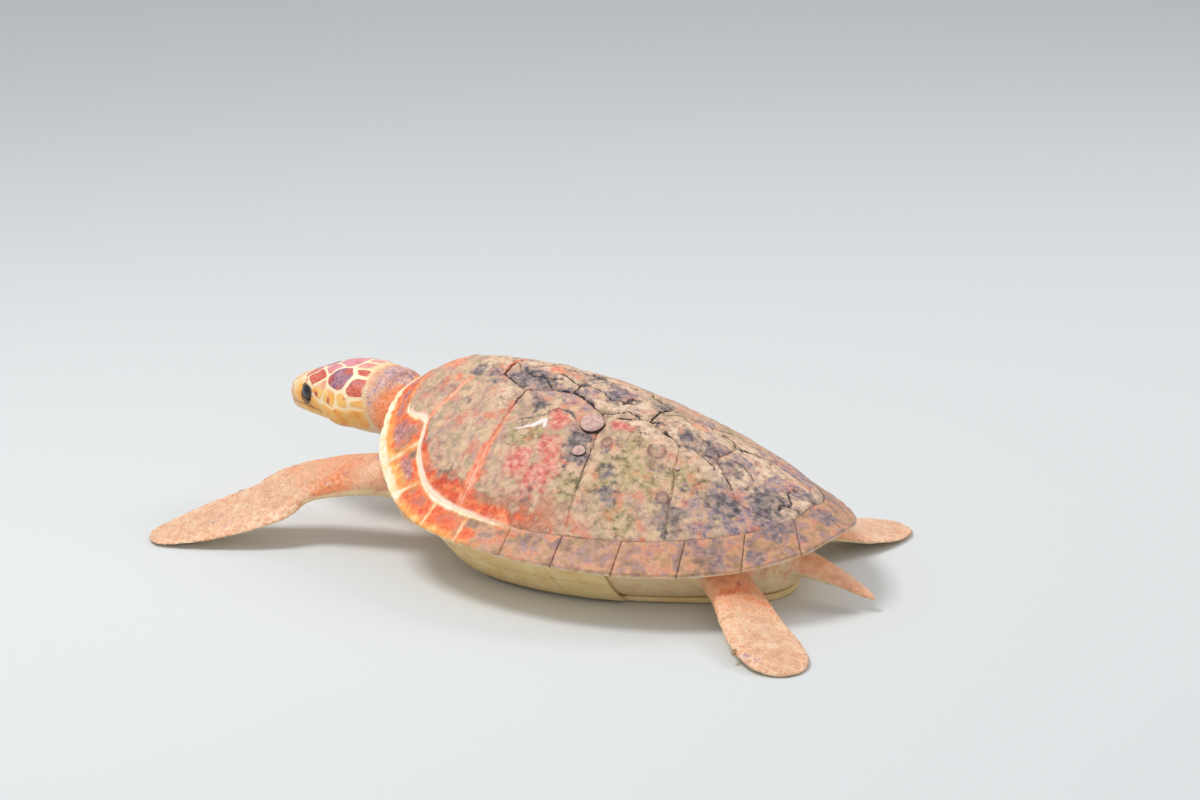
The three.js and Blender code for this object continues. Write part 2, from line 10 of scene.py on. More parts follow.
import bmesh
import bpy
import numpy as np
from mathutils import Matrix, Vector


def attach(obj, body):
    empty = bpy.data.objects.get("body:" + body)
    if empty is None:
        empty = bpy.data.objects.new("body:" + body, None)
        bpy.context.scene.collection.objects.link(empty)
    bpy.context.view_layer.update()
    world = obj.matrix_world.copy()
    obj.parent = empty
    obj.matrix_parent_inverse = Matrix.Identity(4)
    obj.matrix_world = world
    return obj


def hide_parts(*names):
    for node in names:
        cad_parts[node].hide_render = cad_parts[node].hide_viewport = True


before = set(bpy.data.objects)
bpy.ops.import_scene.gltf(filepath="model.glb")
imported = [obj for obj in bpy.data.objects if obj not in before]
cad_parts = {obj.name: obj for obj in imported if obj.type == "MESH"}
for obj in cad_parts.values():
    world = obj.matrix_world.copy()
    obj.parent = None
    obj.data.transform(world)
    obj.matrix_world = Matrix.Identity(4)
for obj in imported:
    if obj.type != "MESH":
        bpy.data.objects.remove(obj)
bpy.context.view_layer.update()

bl_info = {
    "name": "Loggerhead sea turtle",
    "version": (1, 0, 0),
    "blender": (4, 5, 0),
    "location": "3D View > Sidebar > Turtle",
    "description": "Builds a life-size loggerhead sea turtle on its packed frame",
    "category": "Mesh",
}

MM = 0.001
SIDES = (("left", 1), ("right", -1))

# ---------------------------------------------------------------- shape tables, in millimetres
PLATE = 9.0  # thickness of the back plates
EDGE_RINGS = (0.12, 0.9, 1.8, 3.0, 4.4, 6.2, 8.4)  # distances of a back plate's last rings from its edge
DEEPEST = -6  # the lowest the relief goes below the shell
LIP_INSET, LIP_RADIUS = 4.0, 4.7  # the rounded lip of a rim plate: distance in from the rim, and its radius
LIP_POINTS, LOW_POINTS = 11, 13  # points of a rim plate's section round its lip and below it
HALVINGS = 26  # steps that find the spoke through a point
FIRST_JOINT, LAST_JOINT = -0.75, 12.0  # middle of the nuchal plate and of the rear rim
# The shell's rim on the left side: joint, x, y, z, y of the spine point it radiates from
RIM = (
    (-0.75, 0, -470, 274, -312),
    (0, 76, -470, 253, -304),
    (1, 172, -436, 194, -286),
    (2, 250, -362, 147, -252),
    (3, 296, -297, 127, -214),
    (4, 324, -236, 119, -178),
    (5, 347, -155, 115, -122),
    (6, 357, -56, 111, -52),
    (7, 350, 46, 108, 28),
    (8, 322, 152, 104, 110),
    (9, 269, 254, 103, 188),
    (10, 196, 342, 108, 260),
    (11, 102, 410, 122, 320),
    (12, 0, 440, 140, 356),
)
# Height of the back along the spine: y, z
RIDGE = ((-312, 338), (-230, 343), (-130, 334), (-30, 316), (80, 288), (180, 251), (270, 208), (356, 174))
# Fall from the spine to the rim: share of the way, height share
FALL = (
    (0, 1),
    (0.12, 0.995),
    (0.3, 0.95),
    (0.45, 0.81),
    (0.6, 0.66),
    (0.72, 0.49),
    (0.84, 0.27),
    (0.93, 0.12),
    (1, 0),
)
# Fullness of the dome along the rim, and the plan width of the marginal plates
FULLNESS = ((-0.75, 0.8), (2, 0.75), (5, 0.75), (8, 0.7), (10, 0.7), (12, 0.8))
MARGINAL_WIDTH = (
    (-0.75, 54),
    (0.3, 52),
    (0.8, 54),
    (1.25, 70),
    (5 / 3, 87),
    (1.9, 73),
    (2.15, 61),
    (2.7, 51),
    (3.2, 44),
    (4, 40),
    (5.5, 42),
    (8, 54),
    (10, 62),
    (12, 62),
)
# How far each seam between marginal plates slips forward on its way out to the rim, in joints
SEAM_SLIP = ((-0.75, 0), (0, 0), (1, 0.42), (2, 0.55), (3, 0.7), (4, 0.12), (5, 0), (12, 0))
VERTEBRAL_SEAMS = ((48, -244), (44, -94), (40, 62), (34, 200))
VERTEBRAL_CORNERS = ((68, -300), (78, -176), (78, -6), (56, 136), (96, 276))
COSTAL_JOINTS = (1 / 3, 5 / 3, 14 / 3, 7, 26 / 3, 32 / 3)
# The plastron's outline on the left side: joint, x, y
PLASTRON = (
    (-0.75, 0, -346),
    (0, 56, -338),
    (1, 118, -304),
    (2, 168, -248),
    (3, 200, -190),
    (4, 216, -140),
    (5, 223, -84),
    (6, 222, -16),
    (7, 210, 56),
    (8, 182, 134),
    (9, 142, 210),
    (10, 100, 278),
    (11, 50, 326),
    (12, 0, 340),
)
# Rear end of the plastron's middle line, rim to the bridge's edge, height of the plastron's top and of its
# edge, thickness of the bridges and the joints between which they run
KEEL_END, RIM_UNDER, BELLY, BELLY_EDGE, BRIDGE = 300, 18, 14, 4, 9
BRIDGE_JOINTS = (10 / 3, 23 / 3)

# Neck: y, half width, top, bottom. Head: share of the way to the snout, half width, top, bottom.
NECK = (
    (-380, 88, 206, 104),
    (-432, 90, 236, 122),
    (-470, 90, 254, 138),
    (-500, 86, 270, 150),
    (-528, 80, 283, 162),
    (-560, 80, 284, 166),
)
HEAD_BACK, HEAD_LENGTH = -531.6, 218
HEAD = (
    (-0.12, 77, 283, 161),
    (0, 79, 285, 161),
    (0.15, 86, 289, 163),
    (0.3, 88, 289, 167),
    (0.45, 84, 285, 172),
    (0.6, 76, 275, 175),
    (0.72, 66, 264, 177),
    (0.84, 54, 254, 179),
    (0.93, 41, 245, 182),
    (1, 22, 234, 190),
)
HEAD_SQUARE, HEAD_CROWN = 2.5, 0.14
EYE_X, EYE_Y, EYE_Z, EYE_RADIUS = 49, -678, 230, 21
EYE_HALF_LENGTH, EYE_HALF_HEIGHT = 13.5, 15.5  # half the opening between the lids
# Folds of the lids: distance from the eye's middle in half openings, width, height
LID_FOLDS = ((1.22, 0.17, 3.0), (1.62, 0.1, -1.5), (1.9, 0.16, 1.6), (2.25, 0.1, -1.0))
MOUTH = ((-636, 199), (-652, 203), (-672, 206), (-705, 205), (-735, 203), (-775, 200))

# Flippers: x, y, z, chord, thickness, tilt that raises the leading edge
FRONT_LEFT = (
    (132, -350, 116, 92, 84, 10),
    (162, -440, 134, 96, 82, 15),
    (204, -576, 108, 108, 62, 20),
    (256, -642, 68, 132, 42, 18),
    (306, -722, 37, 130, 26, 14),
    (350, -782, 16, 100, 17, 8),
    (384, -820, 5, 58, 12, 2),
)
FRONT_RIGHT = (
    (-132, -350, 116, 92, 84, 0),
    (-196, -428, 118, 96, 74, 0),
    (-304, -430, 84, 112, 52, 4),
    (-386, -366, 46, 134, 34, 8),
    (-438, -268, 22, 128, 24, 6),
    (-470, -166, 8, 88, 15, 2),
    (-484, -98, 3.6, 26, 9, 0),
)
HIND_LEFT = (
    (118, 238, 74, 90, 66, 0),
    (176, 318, 56, 100, 48, 4),
    (232, 384, 32, 118, 32, 6),
    (286, 446, 16, 130, 22, 5),
    (330, 496, 8, 104, 15, 2),
    (356, 526, 3.6, 40, 9, 0),
)
HIND_RIGHT = (
    (-118, 238, 74, 90, 66, 0),
    (-196, 282, 56, 100, 48, 4),
    (-268, 304, 32, 118, 32, 6),
    (-338, 318, 16, 130, 22, 5),
    (-398, 332, 8, 104, 15, 2),
    (-434, 342, 3.6, 40, 9, 0),
)
TAIL = (
    (0, 300, 66, 86, 56, 0),
    (0, 372, 60, 70, 48, 0),
    (0, 440, 44, 46, 34, 0),
    (0, 490, 28, 22, 18, 0),
    (0, 508, 22, 8, 7, 0),
)
TRAILING_TAPER = 0.28  # how much thinner a flipper is towards its trailing edge
# Name, table, the side its leading edge lies on, and where its claw sits
LIMBS = (
    ("front_left", FRONT_LEFT, -1, 0.56),
    ("front_right", FRONT_RIGHT, 1, 0.56),
    ("hind_left", HIND_LEFT, -1, 0.62),
    ("hind_right", HIND_RIGHT, 1, 0.62),
)


# ---------------------------------------------------------------- numbers
def through(rows, t):
    """Cubic Hermite spans through rows (t, values...), each slope taken from the two neighbours."""
    rows, t = np.asarray(rows, float), np.asarray(t, float)
    index = np.arange(len(rows))
    before, after = np.maximum(index - 1, 0), np.minimum(index + 1, len(rows) - 1)
    slope = (rows[after, 1:] - rows[before, 1:]) / (rows[after, 0] - rows[before, 0])[:, None]
    i = np.clip(np.searchsorted(rows[:, 0], t) - 1, 0, len(rows) - 2)
    span = rows[i + 1, 0] - rows[i, 0]
    u = np.clip((t - rows[i, 0]) / span, 0, 1)[..., None]
    ease = u * u * (3 - 2 * u)
    bend = u * (1 - u) ** 2 * slope[i] - u * u * (1 - u) * slope[i + 1]
    return rows[i, 1:] * (1 - ease) + rows[i + 1, 1:] * ease + span[..., None] * bend


def smooth(low, high, value):
    """0 below low, 1 above high, eased between; low may be the larger."""
    t = np.clip((value - low) / (high - low), 0, 1)
    return t * t * (3 - 2 * t)


def bell(distance, width):
    """A bell curve: 1 at distance 0, falling off over the width."""
    return np.exp(-((distance / width) ** 2))


# Large numbers that mix the bits of x, y and z, one for the seed, and the widths of the word and its half
MIX, MIX_SEED, WORD, HALF_WORD = (374761393, 668265263, 1274126177), 97473911, 0xFFFFFFFF, 0xFFFF


def lattice(i, j, k, seed):
    """A fixed number from 0 to 1 for each whole-number point, from a mix of its bits."""
    h = (i * MIX[0] + j * MIX[1] + k * MIX[2] + seed * MIX_SEED) & WORD
    h = ((h ^ (h >> 13)) * MIX[2]) & WORD
    return ((h ^ (h >> 16)) & HALF_WORD) / HALF_WORD


def noise(points, size, seed=0):
    """Smooth noise from -1 to 1: random values on a lattice of that pitch, eased between in x, y and z."""
    q = points / size
    whole = np.floor(q).astype(np.int64)
    f = q - whole
    w = f * f * f * (f * (f * 6 - 15) + 10)
    total = 0
    for dx, dy, dz in np.ndindex(2, 2, 2):
        share = np.abs(1 - dx - w[..., 0]) * np.abs(1 - dy - w[..., 1]) * np.abs(1 - dz - w[..., 2])
        total = total + share * lattice(whole[..., 0] + dx, whole[..., 1] + dy, whole[..., 2] + dz, seed)
    return total * 2 - 1


def fractal(points, size, octaves=4, seed=0, gain=0.5):
    """Noise at a pitch and its halvings, each weaker by the gain, about -1 to 1."""
    total, weight, reach = 0, 1.0, 0.0
    for octave in range(octaves):
        total = total + weight * noise(points, size / 2**octave, seed + octave)
        reach += weight
        weight *= gain
    return total / reach * 1.4


def shifts(points, size, *seeds):
    """A noise for each seed, side by side: how far each point is pushed along each axis."""
    return np.stack([noise(points, size, seed) for seed in seeds], -1)


def strongest(*masks):
    """The largest of several masks at each point."""
    best = masks[0]
    for other in masks[1:]:
        best = np.maximum(best, other)
    return best


def unit(vectors):
    """Vectors scaled to length 1."""
    return vectors / np.linalg.norm(vectors, axis=-1, keepdims=True)


def once_round(count, first=0.0):
    """Angles evenly spaced once round, the first at that share of a step."""
    if first:
        return (np.arange(count) + first) / count * 2 * math.pi
    return np.linspace(0, 2 * math.pi, count, endpoint=False)


def line_distance(points, line):
    """Plan distance from each point to a polyline: the least over its straight pieces."""
    line = np.asarray(line, float)
    best = np.full(points.shape[:-1], 1e9)
    for start, end in zip(line[:-1], line[1:]):
        along = end - start
        t = np.clip(((points - start) @ along) / max(along @ along, 1e-9), 0, 1)
        best = np.minimum(best, np.linalg.norm(points - start - t[..., None] * along, axis=-1))
    return best


def lines_distance(points, lines):
    """Plan distance from each point to the nearest of several polylines."""
    return np.minimum.reduce([line_distance(points, line) for line in lines])


def cells(plan, size, seed):
    """Cells round one chance point in each lattice square: the share of the way from the border, a chance
    value for each cell, and the offset from its point, all in squares."""
    q = plan / size
    whole = np.floor(q).astype(np.int64)
    nearest, second = np.full(q.shape[:-1], 9.0), np.full(q.shape[:-1], 9.0)
    chance, offset = np.zeros(q.shape[:-1]), np.zeros(q.shape)
    for step in np.ndindex(3, 3):
        i, j = np.moveaxis(whole + step - 1, -1, 0)
        point = np.stack([side + 0.1 + 0.8 * lattice(i, j, k, seed) for k, side in enumerate((i, j))], -1)
        away = q - point
        distance = np.hypot(away[..., 0], away[..., 1])
        closer = distance < nearest
        second = np.where(closer, nearest, np.minimum(second, distance))
        chance = np.where(closer, lattice(i, j, 2, seed), chance)
        offset = np.where(closer[..., None], away, offset)
        nearest = np.minimum(nearest, distance)
    return second - nearest, chance, offset


# ---------------------------------------------------------------- the shell's surface
def fall(joint, out):
    """The height share at a share of the way out: a straight slope mixed with the dome by the fullness."""
    full = through(FULLNESS, joint)[..., 0]
    return (1 - out) * (1 - full) + through(FALL, out)[..., 0] * full


def shell_point(joint, out, side=1):
    """The shell at a rim joint and a share of the way out: spine to rim in plan, ridge to rim in height."""
    joint, out = np.broadcast_arrays(np.asarray(joint, float), np.asarray(out, float))
    x, y, z, spine = np.moveaxis(through(RIM, joint), -1, 0)
    top = through(RIDGE, spine)[..., 0]
    return np.stack([side * x * out, spine + (y - spine) * out, z + (top - z) * fall(joint, out)], -1)


def spoke_length(joint):
    """Plan distance from the spine point to the rim."""
    x, y, _, spine = np.moveaxis(through(RIM, joint), -1, 0)
    return np.hypot(x, y - spine)


def seam_share(joint, inset=0.0):
    """The share of the way out at which the marginal plates begin."""
    return 1 - (through(MARGINAL_WIDTH, joint)[..., 0] + inset) / spoke_length(joint)


def from_marginals(joint, out):
    """Plan distance in from the marginals' inner edge, negative beyond it."""
    return (seam_share(joint) - out) * spoke_length(joint)


def spoke_through(px, py):
    """The joint, share and height of the shell over plan points: the spoke is found by halving."""
    x = np.maximum(np.abs(px), 0.01)
    low, high = np.full(x.shape, FIRST_JOINT), np.full(x.shape, LAST_JOINT)
    for _ in range(HALVINGS):
        middle = (low + high) / 2
        rx, ry, _, spine = np.moveaxis(through(RIM, middle), -1, 0)
        before = rx * (py - spine) - x * (ry - spine) > 0
        low, high = np.where(before, middle, low), np.where(before, high, middle)
    joint = (low + high) / 2
    rx, ry, z, spine = np.moveaxis(through(RIM, joint), -1, 0)
    out = np.minimum(np.hypot(x, py - spine) / np.hypot(rx, ry - spine), 1)
    top = through(RIDGE, spine)[..., 0]
    return joint, out, z + (top - z) * fall(joint, out)


def under_point(joint, share, side, lift=0.0):
    """The belly side: from the marginals' inner lower edge in to the plastron's edge, sagging between."""
    edge = shell_point(joint, seam_share(joint, 0.5), side)
    rim_z = through(RIM, joint)[..., 2] - RIM_UNDER
    px, py = np.moveaxis(through(PLASTRON, joint), -1, 0)
    z = rim_z + (BELLY_EDGE - rim_z) * (1 - (1 - share) ** 1.6)
    x = edge[..., 0] * (1 - share) + side * px * share
    y = edge[..., 1] * (1 - share) + py * share
    return np.stack(np.broadcast_arrays(x, y, z + lift), -1)


def joints_between(start, end, per_joint=36):
    """Evenly spaced joints from start to end."""
    return np.linspace(start, end, max(2, round(abs(end - start) * per_joint)))


def joints_round(count):
    """Joints down the left side and back up the right, with the side of each."""
    left = np.linspace(FIRST_JOINT, LAST_JOINT, count)
    return np.concatenate([left, left[-2:0:-1]]), np.concatenate([np.ones(count), -np.ones(count - 2)])


# ---------------------------------------------------------------- meshes
def finish_mesh(mesh, masks):
    """Shades a mesh smoothly and gives it a float attribute for each mask."""
    mesh.polygons.foreach_set("use_smooth", np.ones(len(mesh.polygons), bool))
    for key, values in masks.items():
        mesh.attributes.new(key, "FLOAT", "POINT").data.foreach_set("value", np.asarray(values, np.float32))


def make_mesh(name, points, faces, masks):
    """An object from points in millimetres and faces, with a float attribute for each mask."""
    mesh = bpy.data.meshes.new(name)
    mesh.from_pydata((np.asarray(points, float) * MM).tolist(), [], [list(map(int, f)) for f in faces])
    mesh.update()
    finish_mesh(mesh, masks)
    piece = bpy.data.objects.new(name, mesh)
    bpy.context.scene.collection.objects.link(piece)
    return piece


def grid_faces(rows, columns, start=0):
    """Four-sided faces between neighbouring rows of a grid, the rows closed into loops."""
    j, i = np.meshgrid(np.arange(rows - 1), np.arange(columns), indexing="ij")
    a = start + j * columns + i
    b = start + j * columns + (i + 1) % columns
    return np.stack([a, b, b + columns, a + columns], -1).reshape(-1, 4).tolist()


def fan_faces(ring, tip, flip=False):
    """Triangles from a closed ring of vertex numbers to a tip."""
    after = np.roll(ring, -1)
    middle = np.full(len(ring), tip)
    return np.stack([after, ring, middle] if flip else [ring, after, middle], -1).tolist()


def closed_loft(rings):
    """A closed surface over rings of points: quads between them and a fan over each end."""
    rows, columns = rings.shape[:2]
    points = np.concatenate([rings.reshape(-1, 3), rings[:1].mean(1), rings[-1:].mean(1)])
    faces = grid_faces(rows, columns)
    faces += fan_faces(np.arange(columns), rows * columns, flip=True)
    faces += fan_faces(np.arange(columns) + (rows - 1) * columns, rows * columns + 1)
    return points, faces


def tube(path, radius, first, second, count):
    """Rings of points round a path, spanned by two directions across it."""
    angle = once_round(count)[:, None]
    return path[:, None] + radius[:, None, None] * (first * np.cos(angle) + second * np.sin(angle))


def make_solid(name, points, faces, masks=None):
    """A mesh object of a closed surface, every face turned outwards."""
    piece = make_mesh(name, points, faces, masks or {})
    work = bmesh.new()
    work.from_mesh(piece.data)
    bmesh.ops.recalc_face_normals(work, faces=work.faces)
    if work.calc_volume(signed=True) < 0:
        bmesh.ops.reverse_faces(work, faces=work.faces)
    work.to_mesh(piece.data)
    work.free()
    finish_mesh(piece.data, {})
    return piece


def place(piece, material, slot, *nodes):
    """Gives a finished piece its material, lets it ride on the animal and stand for its solids."""
    piece.data.materials.append(material)
    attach(piece, "root")
    if nodes:
        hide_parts(*nodes)


# ---------------------------------------------------------------- materials
def linear(code):
    """A colour as the shader wants it, from an sRGB hex code."""
    parts = [int(code[i : i + 2], 16) / 255 for i in (1, 3, 5)]
    return [c / 12.92 if c <= 0.04045 else ((c + 0.055) / 1.055) ** 2.4 for c in parts] + [1.0]


def node(material, kind, settings=None, inputs=None):
    """Adds one node, sets its settings, and sets or links each named input."""
    made = material.node_tree.nodes.new(kind)
    for key, value in (settings or {}).items():
        setattr(made, key, value)
    for key, value in (inputs or {}).items():
        socket = made.inputs[key]
        if isinstance(value, bpy.types.NodeSocket):
            material.node_tree.links.new(value, socket)
        else:
            socket.default_value = value
    return made


def new_material(name, **noises):
    """A material, its surface shader, and its noise fields in the object's own coordinates.

    Each noise is the size of its features in millimetres, its detail, its roughness and its stretch."""
    material = bpy.data.materials.new(name)
    material.use_nodes = True
    material.node_tree.nodes.clear()
    shader = node(material, "ShaderNodeBsdfPrincipled")
    node(material, "ShaderNodeOutputMaterial", inputs={"Surface": shader.outputs["BSDF"]})
    fields = {}
    for key, (size_mm, detail, rough, *stretch) in noises.items():
        where = node(material, "ShaderNodeTexCoord").outputs["Object"]
        scale = {"Vector": where, "Scale": stretch or (1, 1, 1)}
        where = node(material, "ShaderNodeMapping", inputs=scale).outputs["Vector"]
        inputs = {"Vector": where, "Scale": 1 / (size_mm * MM), "Detail": detail, "Roughness": rough}
        fields[key] = node(material, "ShaderNodeTexNoise", inputs=inputs).outputs["Fac"]
    return material, shader, fields


def arithmetic(material, operation, first, second):
    """One sum of two values."""
    return node(material, "ShaderNodeMath", {"operation": operation}, {0: first, 1: second}).outputs[0]


def share(material, fields, source, low=0.3, high=0.7, least=0.0, most=1.0):
    """How much of a layer shows: a field or a mask, eased from least at one level to most at the other.

    The source is a field's name, or a mask's name with the field that breaks up its edge and how far."""
    if isinstance(source, str):
        value = fields[source]
    else:
        name, grain, spread = source
        value = node(material, "ShaderNodeAttribute", {"attribute_name": name}).outputs["Fac"]
        if grain:
            shift = share(material, fields, grain, 0.25, 0.75, -spread / 2, spread / 2)
            value = arithmetic(material, "ADD", value, shift)
    inputs = {"Value": value, "From Min": low, "From Max": high, "To Min": least, "To Max": most}
    settings = {"interpolation_type": "SMOOTHSTEP"}
    return node(material, "ShaderNodeMapRange", settings, inputs).outputs["Result"]


def painted(material, fields, layers):
    """Colours laid over each other, the first below: each layer is its colour, then what share() takes.

    A colour is an sRGB code, a field with (place, code) stops over it, or a list of layers of its own. A
    socket may stand for the share."""
    result = None
    for colour, *where in layers:
        if isinstance(colour, list):
            colour = painted(material, fields, colour)
        elif isinstance(colour, tuple):
            field, *stops = colour
            ramp = node(material, "ShaderNodeValToRGB", inputs={"Fac": fields[field]})
            elements = ramp.color_ramp.elements
            while len(elements) < len(stops):
                elements.new(1.0)
            for element, (position, code) in zip(elements, stops):
                element.position, element.color = position, linear(code)
            colour = ramp.outputs["Color"]
        else:
            colour = linear(colour)
        if result is not None:
            linked = isinstance(where[0], bpy.types.NodeSocket)
            factor = where[0] if linked else share(material, fields, *where)
            mix = {0: factor, 6: result, 7: colour}
            colour = node(material, "ShaderNodeMix", {"data_type": "RGBA"}, mix).outputs[2]
        result = colour
    return result


def finish(material, shader, fields, layers, rough, bumps, **constants):
    """Links colour, roughness and bump, and sets constants on the shader's own sockets.

    Rough is a field with its least and most roughness. Bumps are fields with their depth in millimetres,
    one laid over the next."""
    links = material.node_tree.links
    links.new(painted(material, fields, layers), shader.inputs["Base Color"])
    field, least, most = rough
    links.new(share(material, fields, field, least=least, most=most), shader.inputs["Roughness"])
    normal = None
    for field, depth in bumps:
        inputs = {"Height": fields[field], "Distance": depth * MM, "Strength": 1.0}
        if normal:
            inputs["Normal"] = normal
        normal = node(material, "ShaderNodeBump", inputs=inputs).outputs["Normal"]
    if normal:
        links.new(normal, shader.inputs["Normal"])
    for key, value in constants.items():
        shader.inputs[key.replace("_", " ")].default_value = value
    return material


def weathered_keratin():
    """Keratin scutes, weathered: worn dull, stained and algae grown, so only the ridges shine."""
    material, shader, fields = new_material(
        "weathered_keratin",
        broad=(70, 4, 0.6),
        blotch=(24, 8, 0.68),
        soft=(34, 4, 0.6, 1, 1.1, 0.9),
        drift=(25, 4, 0.6, 0.9, 1.1, 1.2),
        fleck=(12, 4, 0.62, 1.1, 0.9, 1),
        grain=(4, 4, 0.75),
    )
    # worn flakes about 5.5 mm across: a chance value for each, and the distance from its middle
    where = node(material, "ShaderNodeTexCoord").outputs["Object"]
    flakes = node(material, "ShaderNodeTexVoronoi", inputs={"Vector": where, "Scale": 1 / (5.5 * MM)})
    parts = node(material, "ShaderNodeSeparateColor", inputs={"Color": flakes.outputs["Color"]})
    fields["chance"] = parts.outputs["Red"]
    fields["flake"] = flakes.outputs["Distance"]
    base = (
        "blotch",
        (0.3, "#8a7062"),
        (0.4, "#b4937a"),
        (0.48, "#cfa98b"),
        (0.56, "#e0b99a"),
        (0.64, "#dca78d"),
        (0.75, "#edcdb0"),
    )
    glow = [
        (("drift", (0.34, "#bb4c38"), (0.44, "#e55b38"), (0.54, "#f47a48"), (0.66, "#f9a272")),),
        ("#a84a3a", "fleck", 0.5, 0.36, 0, 0.5),
    ]
    rust = [
        (("drift", (0.34, "#7f5044"), (0.44, "#a8684f"), (0.54, "#c98463"), (0.66, "#d8a384")),),
        ("#8a5646", "fleck", 0.5, 0.36, 0, 0.5),
    ]
    tan = ("fleck", (0.3, "#8c7768"), (0.45, "#bfa283"), (0.55, "#e0b896"), (0.68, "#e6ac90"))
    green = ("fleck", (0.3, "#655a44"), (0.44, "#998a5e"), (0.56, "#bfab78"), (0.7, "#dcbd94"))
    red = ("fleck", (0.34, "#bd5a4e"), (0.45, "#dc7565"), (0.55, "#e8917e"), (0.66, "#efb3a0"))
    mauve = (
        "fleck",
        (0.32, "#625762"),
        (0.44, "#948390"),
        (0.54, "#b99a94"),
        (0.62, "#d39c7c"),
        (0.7, "#e3b896"),
    )
    horn = ("fleck", (0.32, "#ab8d78"), (0.46, "#dab798"), (0.6, "#efd2b4"))
    salmon = ("fleck", (0.3, "#e8704c"), (0.48, "#f8946c"), (0.65, "#ffbb98"))
    dark = ("fleck", (0.3, "#433a3a"), (0.46, "#706563"), (0.58, "#968684"), (0.7, "#b29b8d"))
    layers = [
        (base,),
        (tan, "broad", 0.4, 0.62, 0.25, 0.75),
        ("#d98d76", "soft", 0.5, 0.64, 0, 0.55),
        ("#9b8790", "drift", 0.5, 0.64, 0, 0.6),
        ("#aa9a76", "soft", 0.48, 0.36, 0, 0.65),
        ("#ecc9a0", "drift", 0.47, 0.36, 0, 0.6),
        (green, ("algae", "drift", 1.6), 0.25, 1.25),
        (red, ("raw", "drift", 1.1), 0.2, 1.0),
        (mauve, ("mauve", "drift", 1.3), 0.2, 1.15),
        ("#96685f", ("scar", "fleck", 0.6), 0.15, 0.95),
        (horn, ("flake", "blotch", 0.9), 0.25, 0.85),
        ("#6a5246", "grain", 0.56, 0.72, 0, 0.4),
        ("#ecc9ab", "chance", 0.55, 1.0, 0, 0.25),
        (rust, ("rust", "drift", 1.2), 0.2, 1.1),
        (glow, ("ember", "soft", 0.9), 0.1, 0.8),
        (salmon, ("vein", "soft", 0.35), 0.1, 0.95),
        (dark, ("stain", "blotch", 1.1), 0.25, 1.05),
        ("#ffe6cc", ("cream", "soft", 0.25), 0.1, 0.85),
        ("#fde9e2", ("scratch", "grain", 0.3), 0.2, 0.7),
        ("#352b2a", ("crack", "grain", 0.6), 0.25, 0.9),
    ]
    rough = ("grain", 0.55, 0.85)
    bumps = [("blotch", 3.0), ("fleck", 1.6), ("flake", 0.5), ("grain", 0.9)]
    return finish(material, shader, fields, layers, rough, bumps, Specular_IOR_Level=0.35, IOR=1.54)


def rim_keratin():
    """Keratin of the marginals: less worn, orange red with purple brown middles, smoother than the back."""
    material, shader, fields = new_material(
        "rim_keratin", blotch=(30, 5, 0.6), soft=(18, 3, 0.55), fleck=(9, 5, 0.7), grain=(4, 4, 0.75)
    )
    base = (
        "blotch",
        (0.34, "#8a6656"),
        (0.44, "#b98868"),
        (0.52, "#d7a07a"),
        (0.6, "#d88a66"),
        (0.7, "#dcb596"),
    )
    mauve = ("fleck", (0.32, "#5c4f50"), (0.48, "#8a7678"), (0.6, "#b08d7c"), (0.7, "#cf9876"))
    glow = [
        (("fleck", (0.3, "#d9472b"), (0.42, "#ee6238"), (0.54, "#f77f47"), (0.7, "#fba36a")),),
        ("#e2503c", "soft", 0.5, 0.66, 0, 0.75),
    ]
    wine = [
        (("fleck", (0.32, "#83555a"), (0.46, "#ad7070"), (0.56, "#cd8a80"), (0.7, "#dfab9c")),),
        ("#a58f78", "soft", 0.46, 0.34, 0, 0.8),
    ]
    gold = ("soft", (0.35, "#fb9c4c"), (0.5, "#fdb65f"), (0.65, "#fecb80"))
    layers = [
        (base,),
        ("#9a8084", "soft", 0.5, 0.64, 0, 0.7),
        ("#a88a5c", "soft", 0.48, 0.36, 0, 0.6),
        (mauve, ("stain", "blotch", 1.0), 0.2, 1.0),
        (glow, ("ember", "blotch", 0.7), 0.1, 0.9),
        (wine, ("core", "soft", 0.9), 0.1, 0.95),
        ("#8a4a34", "grain", 0.58, 0.72, 0, 0.22),
        (gold, ("gold", "soft", 0.35), 0.05, 0.95),
        (("soft", (0.35, "#ffdca2"), (0.6, "#fff3d6")), ("cream", "soft", 0.15), 0.15, 0.85),
        ("#4a342d", ("crack", "grain", 0.5), 0.2, 0.85),
    ]
    bumps = [("blotch", 1.4), ("fleck", 0.7), ("grain", 0.4)]
    rough = ("grain", 0.42, 0.7)
    return finish(material, shader, fields, layers, rough, bumps, Specular_IOR_Level=0.45, IOR=1.54)


def belly_keratin():
    """Keratin of the plastron, rubbed smooth by sand: pale yellow and evenly dull."""
    material, shader, fields = new_material("belly_keratin", blotch=(45, 4, 0.6), grain=(5, 3, 0.6))
    layers = [
        ("#ecd49c",),
        ("#e2bd80", "blotch", 0.35, 0.7),
        ("#c7a06a", "grain", 0.55, 0.75, 0, 0.4),
        ("#a5794a", ("crack", "grain", 0.2), 0.3, 0.8),
    ]
    rough, bumps = ("grain", 0.45, 0.65), [("grain", 0.4)]
    return finish(material, shader, fields, layers, rough, bumps, Specular_IOR_Level=0.45, IOR=1.54)


